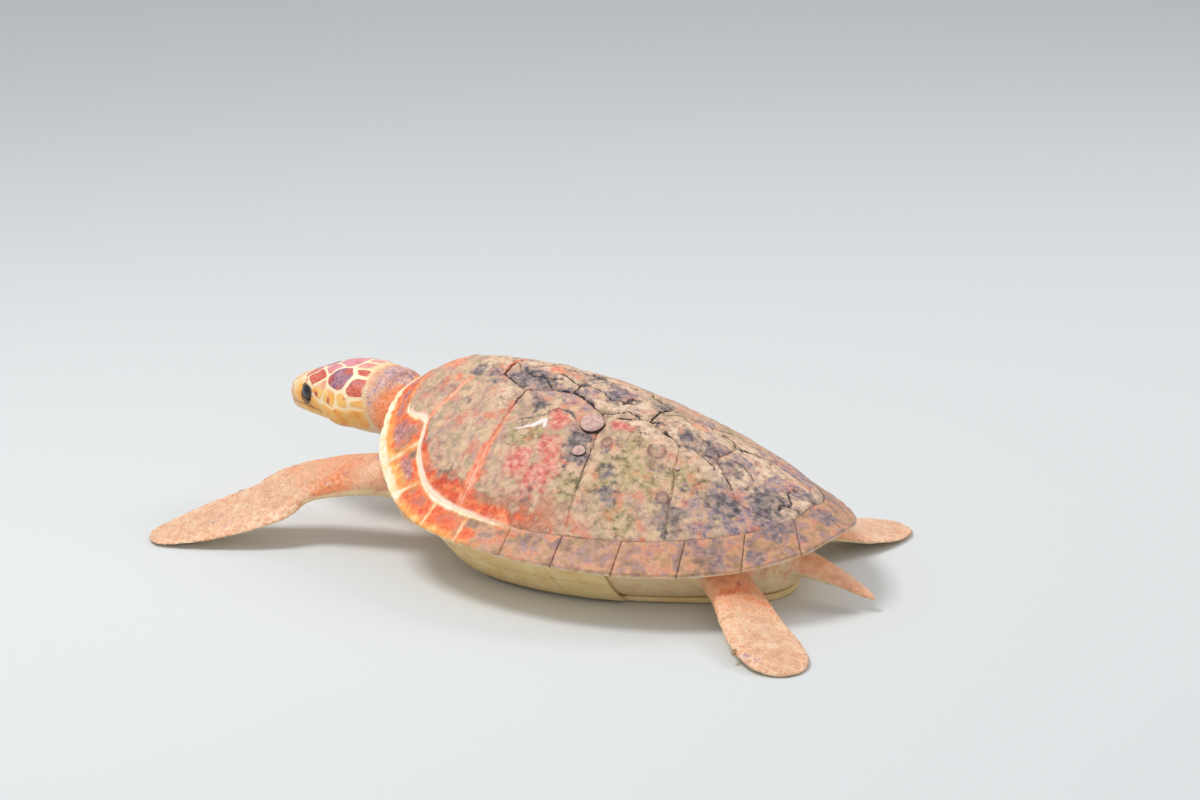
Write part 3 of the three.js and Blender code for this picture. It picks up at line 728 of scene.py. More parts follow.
def scaled_skin():
    """Reptile skin with keratin scales: smooth and horny on head and flippers, fine pebbles on the neck."""
    material, shader, fields = new_material(
        "scaled_skin", blotch=(26, 6, 0.66), fleck=(8, 4, 0.7), grain=(3, 3, 0.7)
    )
    # the pebbles' and scales' borders, bent by a noise of 11 mm through up to 4 mm
    where = node(material, "ShaderNodeTexCoord").outputs["Object"]
    wobble = node(material, "ShaderNodeTexNoise", inputs={"Vector": where, "Scale": 90.0, "Detail": 2.0})
    bend = {0: wobble.outputs["Color"], 1: (4 * MM, 4 * MM, 4 * MM), 2: where}
    warp = node(material, "ShaderNodeVectorMath", {"operation": "MULTIPLY_ADD"}, bend).outputs["Vector"]
    edges, chances = [], []
    for size_mm in (6.0, 14.0):
        inputs = {"Vector": warp, "Scale": 1 / (size_mm * MM)}
        edge = node(material, "ShaderNodeTexVoronoi", {"feature": "DISTANCE_TO_EDGE"}, inputs)
        cell = node(material, "ShaderNodeTexVoronoi", inputs=inputs).outputs["Color"]
        parts = node(material, "ShaderNodeSeparateColor", inputs={"Color": cell})
        edges.append(edge.outputs["Distance"])
        chances.append(parts.outputs["Red"])
    big = share(material, fields, ("big", None, 0))
    for key, (small, large) in (("edge", edges), ("chance", chances)):
        mix = node(material, "ShaderNodeMix", {"data_type": "FLOAT"}, {0: big, 2: small, 3: large})
        fields[key] = mix.outputs[0]

    # brown middles of the flippers' plates, pale borders of all scales, and relief where the skin is bare
    plates = share(material, fields, ("plated", None, 0))
    brown = arithmetic(material, "MULTIPLY", plates, share(material, fields, "chance", 0.3, 1.0, 0.0, 0.35))
    border = share(material, fields, "edge", 0.02, 0.14, 1, 0)
    pale = arithmetic(material, "MULTIPLY", border, share(material, fields, ("lined", None, 0), 0, 1))
    bare = arithmetic(material, "SUBTRACT", 1.0, share(material, fields, ("smooth", None, 0), 0, 1))
    raised = share(material, fields, "edge", 0.0, 0.22)
    fields["pebble"] = arithmetic(material, "MULTIPLY", raised, bare)
    skin = ("blotch", (0.32, "#dd9a74"), (0.46, "#efb088"), (0.56, "#f6c19b"), (0.68, "#fbd5b3"))
    fire = ("fleck", (0.32, "#dc6a40"), (0.48, "#f28a52"), (0.62, "#faa56c"))
    cheek = ("blotch", (0.32, "#f59a45"), (0.48, "#fbb95c"), (0.64, "#fdd283"))
    dusk = ("fleck", (0.32, "#84707f"), (0.43, "#ab8f9f"), (0.53, "#d6aaa4"), (0.62, "#f0c6b4"))
    violet = ("fleck", (0.32, "#6f4a68"), (0.48, "#94677f"), (0.62, "#bd8890"))
    shield = [
        (("fleck", (0.32, "#a83c30"), (0.46, "#cf5a43"), (0.6, "#e0755a"), (0.7, "#ec9a80")),),
        (violet, ("violet", "blotch", 0.8), 0.25, 0.85),
        ("#ec9aa0", ("rose", "blotch", 0.5), 0.25, 0.85),
    ]
    layers = [
        (skin,),
        ("#f5d9a8", ("pale", "blotch", 0.6), 0.2, 0.85),
        (fire, ("orange", "blotch", 0.7), 0.25, 0.85),
        (cheek, ("yellow", "blotch", 0.4), 0.2, 0.85),
        # grey violet over the neck's cap and the flippers' mottle, and as painted shade at the left front
        # flipper's root under the shell's front rim
        (dusk, ("dusk", "blotch", 1.0), 0.15, 1.1),
        (("fleck", (0.35, "#b9774e"), (0.6, "#dc9a6c")), brown),
        ("#fbe2bb", pale),
        (shield, ("shield", "grain", 0.2), 0.3, 0.75),
        ("#ffe9bf", ("seam", "grain", 0.2), 0.3, 0.8),
        # dark brown of the mouth groove and of the ring on the lids round each eye; on the lids it is dark
        # lid skin and painted shade of the lids and the socket together
        ("#4f3832", ("line", None, 0), 0, 1),
    ]
    rough, bumps = ("grain", 0.36, 0.6), [("pebble", 0.8), ("blotch", 0.8), ("grain", 0.3)]
    sheen = {"Subsurface_Weight": 0.05, "Subsurface_Scale": 5 * MM, "Specular_IOR_Level": 0.5, "IOR": 1.5}
    return finish(material, shader, fields, layers, rough, bumps, **sheen)


def beak_horn():
    """Horn of the beak, grown thick and polished by use: cream with faint amber streaks."""
    material, shader, fields = new_material("beak_horn", blotch=(14, 4, 0.6), grain=(3, 3, 0.6, 1, 1, 0.3))
    layers = [
        ("#f3c994",),
        ("#e8a873", "blotch", 0.35, 0.68),
        ("#c98455", "grain", 0.5, 0.75, 0, 0.45),
    ]
    rough, bumps = ("grain", 0.3, 0.5), [("grain", 0.25)]
    return finish(material, shader, fields, layers, rough, bumps, Specular_IOR_Level=0.5, IOR=1.54)


def claw_horn():
    """Horn of the claws, worn by sand: brown with a dull shine."""
    material, shader, fields = new_material("claw_horn", grain=(3, 3, 0.6))
    layers = [("#8a6544",), ("#b98d62", "grain", 0.35, 0.7)]
    rough = ("grain", 0.35, 0.55)
    return finish(material, shader, fields, layers, rough, [], Specular_IOR_Level=0.5, IOR=1.54)


def wet_eye():
    """A wet eyeball: black pupil in a dark brown iris, under a clear tear film with one sharp highlight."""
    material, shader, fields = new_material("wet_eye", grain=(3, 3, 0.6))
    layers = [
        ("#241b1a",),
        ("#3a2a22", "grain", 0.3, 0.7),
        ("#050506", ("pupil", None, 0)),
        ("#4a3a34", ("white", None, 0)),
    ]
    film = {"Coat_Weight": 0.8, "Coat_Roughness": 0.02, "Specular_IOR_Level": 0.6, "IOR": 1.376}
    return finish(material, shader, fields, layers, ("grain", 0.05, 0.09), [], **film)


def barnacle_lime():
    """Calcite wall plates of barnacles, dull and chalky, stained to the shell's pinkish tan."""
    material, shader, fields = new_material("barnacle_lime", blotch=(8, 4, 0.6), grain=(2, 3, 0.6))
    # dark brown over the crack mask: the barnacles' mouth and the joints between their plates, and painted
    # shade on the lower wall at their foot
    layers = [("#dcb9ac",), ("#c2958a", "blotch", 0.35, 0.7), ("#3a2c27", ("crack", None, 0))]
    rough, bumps = ("grain", 0.7, 0.9), [("blotch", 0.6), ("grain", 0.3)]
    return finish(material, shader, fields, layers, rough, bumps, Specular_IOR_Level=0.35, IOR=1.6)


def plain_floor(code):
    """Matt studio floor: one pale paint."""
    material, shader, _ = new_material("matt_floor_paint")
    shader.inputs["Base Color"].default_value = linear(code)
    shader.inputs["Roughness"].default_value = 0.9
    return material


# ---------------------------------------------------------------- seams and weather of the shell
def seam_run(start, end):
    """Plan points along the marginals' inner edge on the left side."""
    joint = joints_between(start, end)
    return shell_point(joint, seam_share(joint))[:, :2]


def costal_seam(i):
    """The seam in front of costal i, from the vertebral corner out to the marginals."""
    end = shell_point(COSTAL_JOINTS[i], seam_share(COSTAL_JOINTS[i]))[:2]
    return np.array([VERTEBRAL_CORNERS[i - 1], end], float)


def back_seam():
    """The seam between the vertebral and costal plates, with its corners."""
    points = [VERTEBRAL_CORNERS[0]]
    for seam, corner in zip(VERTEBRAL_SEAMS, VERTEBRAL_CORNERS[1:]):
        points += [seam, corner]
    return np.array(points, float)


# Patches on the left side: plan x, y and radius of each
RAW_PATCHES = (
    (120, -80, 21),
    (132, -72, 15),
    (116, -62, 12),
    (200, -38, 32),
    (236, -56, 34),
    (80, 34, 22),
    (70, 50, 14),
    (218, -96, 30),
    (180, -66, 24),
)
ALGAE_PATCHES = (
    (155, 80, 50),
    (198, 58, 44),
    (158, 134, 44),
    (95, 78, 32),
    (228, 10, 34),
    (120, 190, 40),
    (250, 120, 34),
    (176, -110, 34),
)
STAIN_PATCHES = (
    (44, -298, 17),
    (218, 86, 24),
    (146, -18, 24),
    (172, -8, 26),
    (45, -188, 30),
    (40, -160, 24),
    (18, -23, 24),
    (30, 141, 20),
    (182, 62, 20),
    (60, 320, 40),
    (120, 262, 34),
    (200, 200, 30),
    (106, -128, 20),
)
# Pale, peeling horn: plan x, y, half width, half length
FLAKE_PATCHES = (
    (0, -196, 20, 40),
    (24, -120, 18, 36),
    (4, -66, 16, 46),
    (50, -30, 12, 36),
    (18, 40, 16, 40),
    (4, 130, 18, 44),
    (28, 180, 16, 30),
    (26, 262, 26, 26),
    (6, 374, 20, 24),
    (104, -204, 24, 26),
    (30, -290, 34, 20),
)
# Deep cracks, one of them painted shadow under a flake's lower edge: plan points, the right side at negative
# x
FISSURES = (
    ((34, -160), (58, -128), (50, -96), (60, -52), (68, -4), (46, 22), (38, 62), (28, 96)),
    ((10, -232), (30, -214), (36, -184), (30, -150)),
    # this line runs along the lower edge of a lens-shaped flake on the second vertebral plate, and the dark
    # painted along it is the flake's shadow
    ((22, -206), (34, -190), (36, -162), (28, -132)),
    ((14, -140), (22, -100), (12, -62), (26, -20), (14, 20)),
    ((44, 96), (60, 130), (52, 176), (66, 214)),
    ((-6, -60), (-20, -16), (-12, 44), (-30, 92), (-18, 140)),
    ((-40, -196), (-58, -150), (-52, -96), (-70, -40), (-76, 4), (-50, 46)),
    ((8, 150), (20, 196), (6, 236), (30, 270)),
    ((-34, 120), (-50, 168), (-38, 214), (-62, 262)),
)
# Salmon patches on the keel and the front of the back: plan x, y, half width, half length
GLOW_PATCHES = ((0, -146, 15, 34), (4, -374, 40, 30), (66, -330, 12, 14), (20, 130, 10, 20))
# Ring scars that barnacles left: plan x, y, radius
SCARS = ((100, 116, 15), (176, 172, 10), (132, 30, 8))
# A pale scratch and the torn, lifted edge of the horn above the raw patch, on the left side
SCRATCH = ((165, -146), (156, -126), (148, -112), (136, -96), (146, -92))
TORN_EDGE = ((147, -146), (140, -124), (129, -104), (114, -98), (105, -86), (104, -62), (116, -46))
HOLE = (204, -14)  # a small pit in the horn on the left side
# Width and length of the flakes of peeling horn and of the chips on them
HORN_FLAKE, HORN_CHIP = (40.0, 112.0), (15.0, 38.0)


def blobs(plan, patches, ragged):
    """The strongest of several round patches, their outlines pushed about by a noise."""
    best = np.zeros(plan.shape[:-1])
    for x, y, *radii in patches:
        reach = np.hypot((plan[..., 0] - x) / radii[0], (plan[..., 1] - y) / radii[-1])
        best = np.maximum(best, smooth(1.5, 0.35, reach + 0.4 * ragged))
    return best


def peeling(points, amount):
    """Peeling horn: cells stretched along the spine, each tilted so that its rear edge stands up.

    Returns relief, cracks along part of the cells' borders, and each cell's chance value. The borders are
    bent by two noises, and a finer layer of cells lies on the first."""
    plan = points[..., :2] + (10 * shifts(points, 34, 201, 202) + 3.5 * shifts(points, 10, 203, 204))
    border, chance, offset = cells(plan, np.array(HORN_FLAKE), 205)
    open_crack = smooth(-0.1, 0.35, noise(points, 60, 206)) * smooth(0.055, 0.012, border)
    tilt = 0.3 + 0.7 * smooth(-0.5, 0.5, offset[..., 1])
    height = (1.2 + 3.2 * chance) * tilt * smooth(0.0, 0.1, border)
    small, chip, slope = cells(plan, np.array(HORN_CHIP), 207)
    chipped = smooth(0.0, 0.5, noise(points, 52, 208))
    tilt = 0.4 + 0.6 * smooth(-0.5, 0.5, slope[..., 1])
    height = height + 1.3 * chip * tilt * chipped * smooth(0, 0.14, small)
    crack = np.maximum(0.8 * open_crack, 0.4 * chipped * smooth(0.1, 0.03, small) * (chip > 0.45))
    return (height - 2.6 * open_crack) * amount, crack * amount, chance


def front_glow(plan, bent, joint, out, rim_distance, ragged, wander, first, second, third):
    """The cream, ember, rust and salmon masks of the front seams: bells over the distance to each line."""
    lower = smooth(0.25, 0.7, out + 0.04 * ragged)
    bright = smooth(6.7, 5.6, joint) * smooth(0.7, 1.0, joint)
    cream = bell(rim_distance, 4.4 + 1.8 * smooth(5.4, 4.2, joint)) * bright
    cream = cream * (0.6 + 0.4 * smooth(5.6, 4.6, joint))
    reach = (17 + 13 * smooth(2.4, 4.2, joint)) * (1 - 0.4 * smooth(4.4, 5.4, joint)) + 5 * ragged
    ember = smooth(1.5 * reach, 0.5 * reach, rim_distance) * smooth(6.4, 5.6, joint)
    rust = smooth(7.4, 6.2, joint)
    front_seam = line_distance(bent, ((0, VERTEBRAL_SEAMS[0][1]), VERTEBRAL_SEAMS[0]))
    return {
        "cream": strongest(
            cream,
            0.5 * bell(first, 3.0 * wander),
            0.42 * bell(second, 3.0 * wander) * lower,
        ),
        "ember": strongest(
            ember * smooth(1.5, 1.85, joint),
            0.75 * bell(second, 18) * smooth(0.55, 0.85, out),
        ),
        "rust": rust * smooth(62, 26, rim_distance + 14 * ragged) * smooth(2.2, 4.6, joint),
        "vein": strongest(
            bell(first, 6.5 * wander),
            bell(second, (5 + 6 * lower) * wander) * (0.3 + 0.7 * lower),
            0.9 * bell(front_seam, 5 * wander) * smooth(60, 44, plan[..., 0]),
            0.7 * blobs(plan, GLOW_PATCHES, ragged),
            0.45 * bell(third, 4 * wander) * smooth(0.6, 0.85, out),
            0.6 * bell(rim_distance, 10) * bright,
        ),
    }


def weather(points, joint, out):
    """Masks and relief of the back from plan position, distance to the seams and noise.

    Seams are bells over the distance to their lines, with a width that wanders. The patches belong to the
    left side, and noise alone gives the right side its own."""
    plan = np.stack([np.abs(points[..., 0]), points[..., 1]], -1)
    signed, across, along = points[..., :2], plan[..., 0], points[..., 1]
    left = points[..., 0] > -12
    jitter = 2.4 * shifts(points, 26, 3, 4) + shifts(points, 8, 5, 6)
    bent = plan + jitter
    rim_distance = np.abs(from_marginals(joint, out) + 1.4 * noise(points, 30, 7))
    ragged, fine = fractal(points, 34, 4, 11), fractal(points, 12, 3, 17)
    wander = 1 + 0.4 * noise(points, 20, 19)
    first, second, third, fourth, fifth = (line_distance(bent, costal_seam(i)) for i in (1, 2, 3, 4, 5))
    masks = front_glow(plan, bent, joint, out, rim_distance, ragged, wander, first, second, third)
    spine = smooth(104, 58, across + 18 * ragged) * smooth(-330, -262, along)
    high = smooth(0.62, 0.38, out) * smooth(-340, -290, along)
    amount = np.maximum(spine, 0.6 * high * smooth(-0.1, 0.4, fractal(points, 70, 2, 59)))
    height, cracks, chance = peeling(points, amount)
    # distances to the single marks
    scratch = line_distance(signed + 0.8 * jitter, SCRATCH)
    hole = np.hypot(points[..., 0] - HOLE[0], along - HOLE[1])
    torn = line_distance(signed + jitter, TORN_EDGE) * np.where(left, 1, 9)
    fissure = lines_distance(signed + 2.2 * jitter, FISSURES)
    inner_seams = [((0, y), (half_width, y)) for half_width, y in VERTEBRAL_SEAMS]
    keel = lines_distance(bent, [back_seam(), *inner_seams])
    scar = np.zeros(joint.shape)
    for x, y, radius in SCARS:
        away = np.hypot(across - x, along - y) + 1.5 * fine - radius
        scar = strongest(scar, bell(away, 3.5), 0.45 * smooth(4, -4, away))
    # patches: the left side has its own, and noise gives the right side others
    raw = smooth(0.42, 0.8, ragged) * (1 - spine) * smooth(4, 6, joint + ragged)
    algae = smooth(0.05, 0.6, fractal(points, 90, 3, 29)) * smooth(-80, 30, along)
    grown = np.maximum(blobs(plan, ALGAE_PATCHES, ragged), 0.45 * algae)
    stain = smooth(0.25, 0.75, fractal(points, 48, 4, 37))
    masks["scratch"] = bell(scratch, 1.2 + 2.6 * smooth(-146, -100, along)) * left
    masks["raw"] = np.where(left, blobs(plan, RAW_PATCHES, ragged), 0.8 * raw)
    masks["algae"] = np.where(left, grown, 0.9 * algae)
    masks["mauve"] = np.maximum(
        smooth(8.2, 9.6, joint + 0.8 * ragged) * 0.9,
        0.9 * spine * smooth(-0.2, 0.4, fractal(points, 64, 3, 31)),
    )
    masks["stain"] = strongest(
        np.where(left, blobs(plan, STAIN_PATCHES, fine), stain * (0.5 + 0.5 * spine)),
        0.5 * stain,
        0.6 * spine * smooth(0.24, 0.14, chance),
        1.4 * bell(hole, 5),
        0.5 * bell(torn, 6),
        0.6 * bell(fissure, 9) * smooth(-0.6, 0.4, fine),
    )
    masks["flake"] = strongest(
        0.9 * blobs(plan, FLAKE_PATCHES, fine),
        0.85 * spine * smooth(0.5, 0.6, chance),
    )
    masks["scar"] = scar * left
    # along the fissure under the second vertebral's flake, this dark and the stain beside it above are
    # painted shadow of the flake's edge
    masks["crack"] = strongest(
        cracks,
        bell(fissure, 1.9 * wander),
        bell(keel, 1.5 * wander) * (0.35 + 0.65 * spine) * smooth(1.6, 2.6, joint),
        bell(fourth, 1.3 * wander) * 0.6,
        bell(fifth, 1.3 * wander) * 0.6,
        bell(third, 1.5 * wander) * (0.3 + 0.5 * smooth(0.85, 0.6, out)),
        bell(second, 1.6 * wander) * smooth(0.55, 0.3, out),
        bell(rim_distance, 1.2 * wander) * (1 - smooth(6.0, 4.3, joint)) * 0.6,
        0.9 * bell(torn, 1.6 * wander),
    )
    height = height + 1.5 * fractal(points, 30, 3, 67) + 0.6 * fine
    height = height - 2.6 * bell(fissure, 2.8) + 1.6 * bell(fissure - 6, 5)
    height = height + 1.2 * scar * left - 2.5 * bell(hole, 4)
    height = height + 2.0 * bell(torn - 3, 4) * left + 1.5 * bell(scratch, 4) * left
    return masks, height


def scute_height(points, edge_distance, calm):
    """Relief of one scute: swollen in the middle, bevelled at its edge, with faint growth lines along it.

    The bevel is shallow where calm is 1, along the bright front seams."""
    swell = 2.8 * (1 - np.exp(-edge_distance / 26))
    bevel = (-2.4 * bell(edge_distance, 2.4) - 1.0 * np.exp(-edge_distance / 7)) * (1 - 0.8 * calm)
    lines = 0.3 * np.sin(edge_distance / 1.2 + 2.5 * noise(points, 22, 71)) * np.exp(-edge_distance / 60)
    return swell + bevel + lines


def plate_outline(kind, i):
    """Plan outline of a back plate on the left side, or of a whole vertebral plate."""
    corners, seams = np.array(VERTEBRAL_CORNERS, float), np.array(VERTEBRAL_SEAMS, float)
    corner = corners[i : i + 1]
    if kind == "costal":
        inner = corner if i == 0 else np.stack([corners[i - 1], seams[i - 1], corners[i]])
        return np.concatenate([inner, seam_run(COSTAL_JOINTS[i + 1], COSTAL_JOINTS[i])])
    front = seams[i - 1 : i] if i > 0 else seam_run(FIRST_JOINT, COSTAL_JOINTS[0])
    back = seams[i : i + 1] if i < len(seams) else seam_run(COSTAL_JOINTS[-1], LAST_JOINT)
    half = np.concatenate([front, corner, back])
    ring = np.concatenate([half, half[::-1] * [-1, 1]])
    apart = np.linalg.norm(ring - np.roll(ring, 1, 0), axis=1) > 0.5
    return ring[apart]


def dense_ring(outline, span):
    """The closed outline with points no further apart than a span, its seams bent a little inside the rim.

    The bend is a noise of position alone, so the two plates at a seam share it."""
    pieces = []
    for a, b in zip(outline, np.roll(outline, -1, 0)):
        count = max(1, math.ceil(np.linalg.norm(b - a) / span))
        pieces.append(a + (b - a) * (np.arange(count) / count)[:, None])
    ring = np.concatenate(pieces)
    joint, out, _ = spoke_through(ring[:, 0], ring[:, 1])
    where = np.column_stack([ring, 0 * joint])
    bend = 2.4 * shifts(where, 26, 61, 63) + shifts(where, 9, 62, 64)
    return ring + bend * smooth(4, 30, from_marginals(joint, out))[:, None]


def back_plate(name, outline, span, keel_rise=0.0):
    """A plate over a plan outline: rings from its centre to its outline, lifted by the shell and its relief.

    Near the edge the rings keep fixed distances from it, so the bevel is even. A vertebral plate rises along
    the keel towards its rear edge. The wall and the underside close it at the plate's thickness."""
    ring = dense_ring(outline, span)
    centre = ring.mean(0)
    reach = np.linalg.norm(ring - centre, axis=1)
    inner = np.linspace(0, 1, math.ceil(reach.max() / (span * 1.1)))[1:]
    edge_share = 1 - np.array([EDGE_RINGS[::-1]]) / reach[:, None]
    shares = np.concatenate([inner[None, :-1] * edge_share[:, :1], edge_share], 1).T
    plan = centre + shares[..., None] * (ring - centre)
    plan = np.concatenate([[centre], plan.reshape(-1, 2)])
    joint, out, z = spoke_through(plan[:, 0], plan[:, 1])
    points = np.column_stack([plan, z])
    distance = line_distance(plan, np.concatenate([ring, ring[:1]]))
    masks, height = weather(points, joint, out)
    bright = smooth(5.6, 4.6, joint) * smooth(14, 4, np.abs(from_marginals(joint, out)))
    along = (plan[:, 1] - ring[:, 1].min()) / np.ptp(ring[:, 1])
    rise = keel_rise * bell(plan[:, 0], 34) * smooth(0.1, 0.95, along)
    lift = height * smooth(0, 6, distance) + rise + scute_height(points, distance, bright)
    points[:, 2] += np.maximum(lift, DEEPEST)
    rows, columns = shares.shape
    base = np.column_stack([plan[-columns:], z[-columns:] - PLATE])
    half = centre + 0.5 * (ring - centre)
    inner_base = np.column_stack([half, spoke_through(half[:, 0], half[:, 1])[2] - PLATE])
    tip = np.append(centre, z[0] - PLATE)
    everything = np.concatenate([points, base, inner_base, tip[None]])
    faces = grid_faces(rows + 2, columns, 1)
    faces += fan_faces(np.arange(columns) + 1, 0, flip=True)
    faces += fan_faces(np.arange(columns) + 1 + (rows + 1) * columns, len(everything) - 1)
    hidden = np.zeros(2 * columns + 1)
    masks = {key: np.append(value, hidden) for key, value in masks.items()}
    return make_solid(name, everything, faces, masks)


def rim_section(joint, side, span):
    """The closed section of a rim plate at each joint, as points with the joint, inset and width at each.

    It runs from the seam out over the shell to the lip, half round the lip, and back in below, where it is
    hollowed. Insets are plan distances in from the rim. Every point slips forward by its share of the way
    out."""
    count = math.ceil(through(MARGINAL_WIDTH, joint)[..., 0].max() / span)
    turn = np.linspace(math.pi / 2, -math.pi / 2, LIP_POINTS + 1)[1:]
    back_in = np.linspace(1, 0, LOW_POINTS + 1)[1:]
    share = np.concatenate([np.linspace(0, 1, count), np.ones(LIP_POINTS), back_in])
    on_top = np.concatenate([np.ones(count), np.linspace(1, 0, LIP_POINTS), np.zeros(LOW_POINTS)])
    bend = np.concatenate([np.full(count, math.pi / 2), turn, np.full(LOW_POINTS, -math.pi / 2)])
    at = joint[:, None] - through(SEAM_SLIP, joint) * share
    width = through(MARGINAL_WIDTH, at)[..., 0]
    top_inset = (width - 0.1) * (1 - share) + LIP_INSET * share
    low_inset = (width - 4.2) * (1 - share) + LIP_INSET - 5 * np.cos(bend)
    inset = np.where(on_top == 1, top_inset, low_inset)
    top = shell_point(at, 1 - inset / spoke_length(at))
    lip_z = shell_point(at, 1 - LIP_INSET / spoke_length(at))[..., 2] - LIP_RADIUS
    hollow = 9.0 * (np.maximum(low_inset - LIP_INSET, 0) / width) ** 0.8 * (bend < -1.57)
    rim = through(RIM, at)
    inward = unit(np.stack([-rim[..., 0], rim[..., 3] - rim[..., 1]], -1))
    low_z = lip_z + LIP_RADIUS * np.sin(bend) - hollow
    low = np.concatenate([rim[..., :2] + inward * inset[..., None], low_z[..., None]], -1)
    section = np.where((on_top == 1)[:, None], top, low)
    section[..., 0] *= side[:, None]
    outward = -inward * np.stack([side, np.ones(len(side))], -1)[:, None]
    return section, at, inset, width, np.broadcast_to(on_top, inset.shape), outward


def rim_plate(name, joint, side, span=2.3):
    """A rim plate: the rim's section carried along it, notched at each end, with its bright edges."""
    section, at, inset, width, on_top, outward = rim_section(joint, side, span)
    steps = np.linalg.norm(np.diff(section, axis=0), axis=-1)
    length = np.concatenate([np.zeros((1, steps.shape[1])), np.cumsum(steps, 0)])
    nearer = 1 - 0.3 * smooth(0.1, 0.6, through(SEAM_SLIP, joint))
    end_distance = np.minimum(length, length[-1] - length) * nearer
    seam_distance = width - inset
    bright = smooth(3.2, 1.9, at)
    ragged = fractal(section, 34, 4, 11)
    wander = noise(section, 16, 23)
    edge = np.minimum(end_distance, np.where(on_top > 0.5, seam_distance, 99))
    bright_end = smooth(6.5, 4.6, at) * (0.3 + 0.7 * smooth(0.7, 1.6, at))
    front = smooth(5.8, 4.4, at) * (0.75 + 0.4 * ragged)
    core = smooth(5, 24, edge + 7 * ragged) * smooth(18, 34, inset + 5 * ragged) * on_top
    crack = np.maximum(bell(end_distance, 1.0 + 0.6 * wander), bell(seam_distance, 1.1) * on_top)
    masks = {
        "cream": strongest(
            bell(seam_distance + 1.2 * wander, 6.0) * on_top * smooth(6.7, 4.8, at) * smooth(0.4, 0.9, at),
            bell(end_distance + 0.7 * wander, 3.2) * 0.8 * bright_end * (0.75 + 0.25 * smooth(30, 10, inset)),
            smooth(19, 7, inset + 1.5 * ragged) * bright,
            0.75 * (1 - on_top),
        ),
        "gold": strongest(
            smooth(38, 12, inset + 4 * ragged) * bright * smooth(-0.2, 0.8, at),
            0.9 * smooth(17, 2, inset + 3 * ragged) * smooth(6.5, 4, at),
            0.7 * bell(end_distance + 2 * ragged, 7) * bright_end,
            0.55 * bell(seam_distance, 9) * smooth(6.8, 5.4, at),
        ),
        "ember": np.clip(front + 0.5 * smooth(8.5, 5.5, at) * smooth(0.05, 0.5, ragged), 0, 1),
        "core": core * (0.1 + 0.9 * smooth(4.0, 2.4, at)),
        "stain": smooth(0.0, 0.6, fractal(section, 50, 3, 37)) * smooth(5.5, 9, at) * on_top,
        "crack": crack * smooth(5.2, 6.4, at) * 0.6,
    }
    lift = (1.2 * fractal(section, 26, 3, 67) + 0.5 * fractal(section, 11, 2, 17)) * smooth(0, 8, edge)
    lift = lift - 1.3 * bell(edge, 2.2) * (1 - 0.75 * bright_end) + 1.5 * (1 - np.exp(-edge / 14))
    section[..., 2] += lift * on_top
    wave = 1.0 - np.abs(2 * end_distance / end_distance.max(0) - 1) ** 3
    notch = 1.6 * bell(end_distance, 3) * (1 - 0.7 * bright_end)
    push = (2.2 * wave - notch + 0.5 * ragged) * smooth(22, 4, inset) * (0.35 + 0.65 * on_top)
    section[..., :2] += outward * push[..., None]
    return make_solid(name, *closed_loft(section), {k: np.append(v, [0, 0]) for k, v in masks.items()})


# Barnacles on the left and right of the back: plan x, y, radius, height
BARNACLES = (
    (110, -14, 22, 8.5),
    (168, -6, 12, 4.5),
    (111, 164, 5, 1.6),
    (-206, -84, 19, 5),
    (-236, -58, 9, 3),
    (-228, 40, 13, 4),
    (-252, 112, 12, 3.5),
    (-150, -180, 9, 2.5),
)
# Outline of a barnacle from its foot to its mouth, as shares of radius and height
BARNACLE_PROFILE = (
    (1.0, -0.5),
    (1.03, 0.0),
    (0.99, 0.3),
    (0.9, 0.6),
    (0.74, 0.84),
    (0.52, 0.96),
    (0.34, 0.98),
    (0.24, 0.94),
    (0.18, 0.84),
    (0.06, 0.8),
)


def barnacle(name, x, y, radius, height, seed):
    """A barnacle: a low dome with a small sunken mouth, turned round its axis and fluted into six plates."""
    table = np.column_stack([np.linspace(0, 1, len(BARNACLE_PROFILE)), BARNACLE_PROFILE])
    r, h = np.moveaxis(through(table, np.linspace(0, 1, 26)), -1, 0)[..., None]
    angle = once_round(84)
    ridge = np.abs(((angle / (math.pi / 3) + 0.1 * seed) % 1) - 0.5)
    flute = 1 + 0.035 * np.cos(3 * angle + seed) * smooth(0.3, 0.9, r)
    flute = flute + 0.012 * np.cos(26 * angle + 2 * seed) * smooth(0.4, 0.9, r)
    sunk = 1 - 0.22 * bell(ridge, 0.05) * smooth(0.25, 0.5, r)
    reach = radius * r * flute
    local = np.stack([reach * np.cos(angle), reach * np.sin(angle), height * h * sunk], -1)
    local = local + np.array([0, 0, 0.05 * height]) * np.cos(4 * angle + seed)[None, :, None]
    # the shell's slope below it, from the heights a few millimetres away
    step = 4.0
    z = spoke_through(np.array([x, x + step, x]), np.array([y, y, y + step]))[2]
    normal = unit(np.array([-(z[1] - z[0]) / step, -(z[2] - z[0]) / step, 1.0]))
    across = unit(np.cross([0, 1, 0], normal))
    points = np.array([x, y, z[0] + 3.4]) + local @ np.array([across, np.cross(normal, across), normal])
    # dark: a ring down into the mouth, the joints between the six plates, and the lower wall next to the
    # shell, whose dark is painted shade at the barnacle's foot
    dark = strongest(
        0.45 * bell(r - 0.21, 0.03),
        0.35 * bell(ridge, 0.02) * smooth(0.3, 0.5, r),
        0.9 * smooth(0.95, 1.02, r),
    )
    return make_solid(name, *closed_loft(points), {"crack": np.append(dark, [1, 1])})


# ---------------------------------------------------------------- skin
def oval_ring(y, half_width, top, bottom, power, crown, count=72):
    """Rings across the body: a superellipse between top and bottom, drawn in towards its crown."""
    angle = once_round(count, 0.5)
    c, s = np.cos(angle), np.sin(angle)
    narrow = 1 - crown * np.maximum(0, s)
    x = half_width[:, None] * narrow * np.sign(c) * np.abs(c) ** (2 / power)
    z = (top - bottom)[:, None] / 2 * np.sign(s) * np.abs(s) ** (2 / power) + (top + bottom)[:, None] / 2
    return np.stack([x, y[:, None] + 0 * x, z], -1)


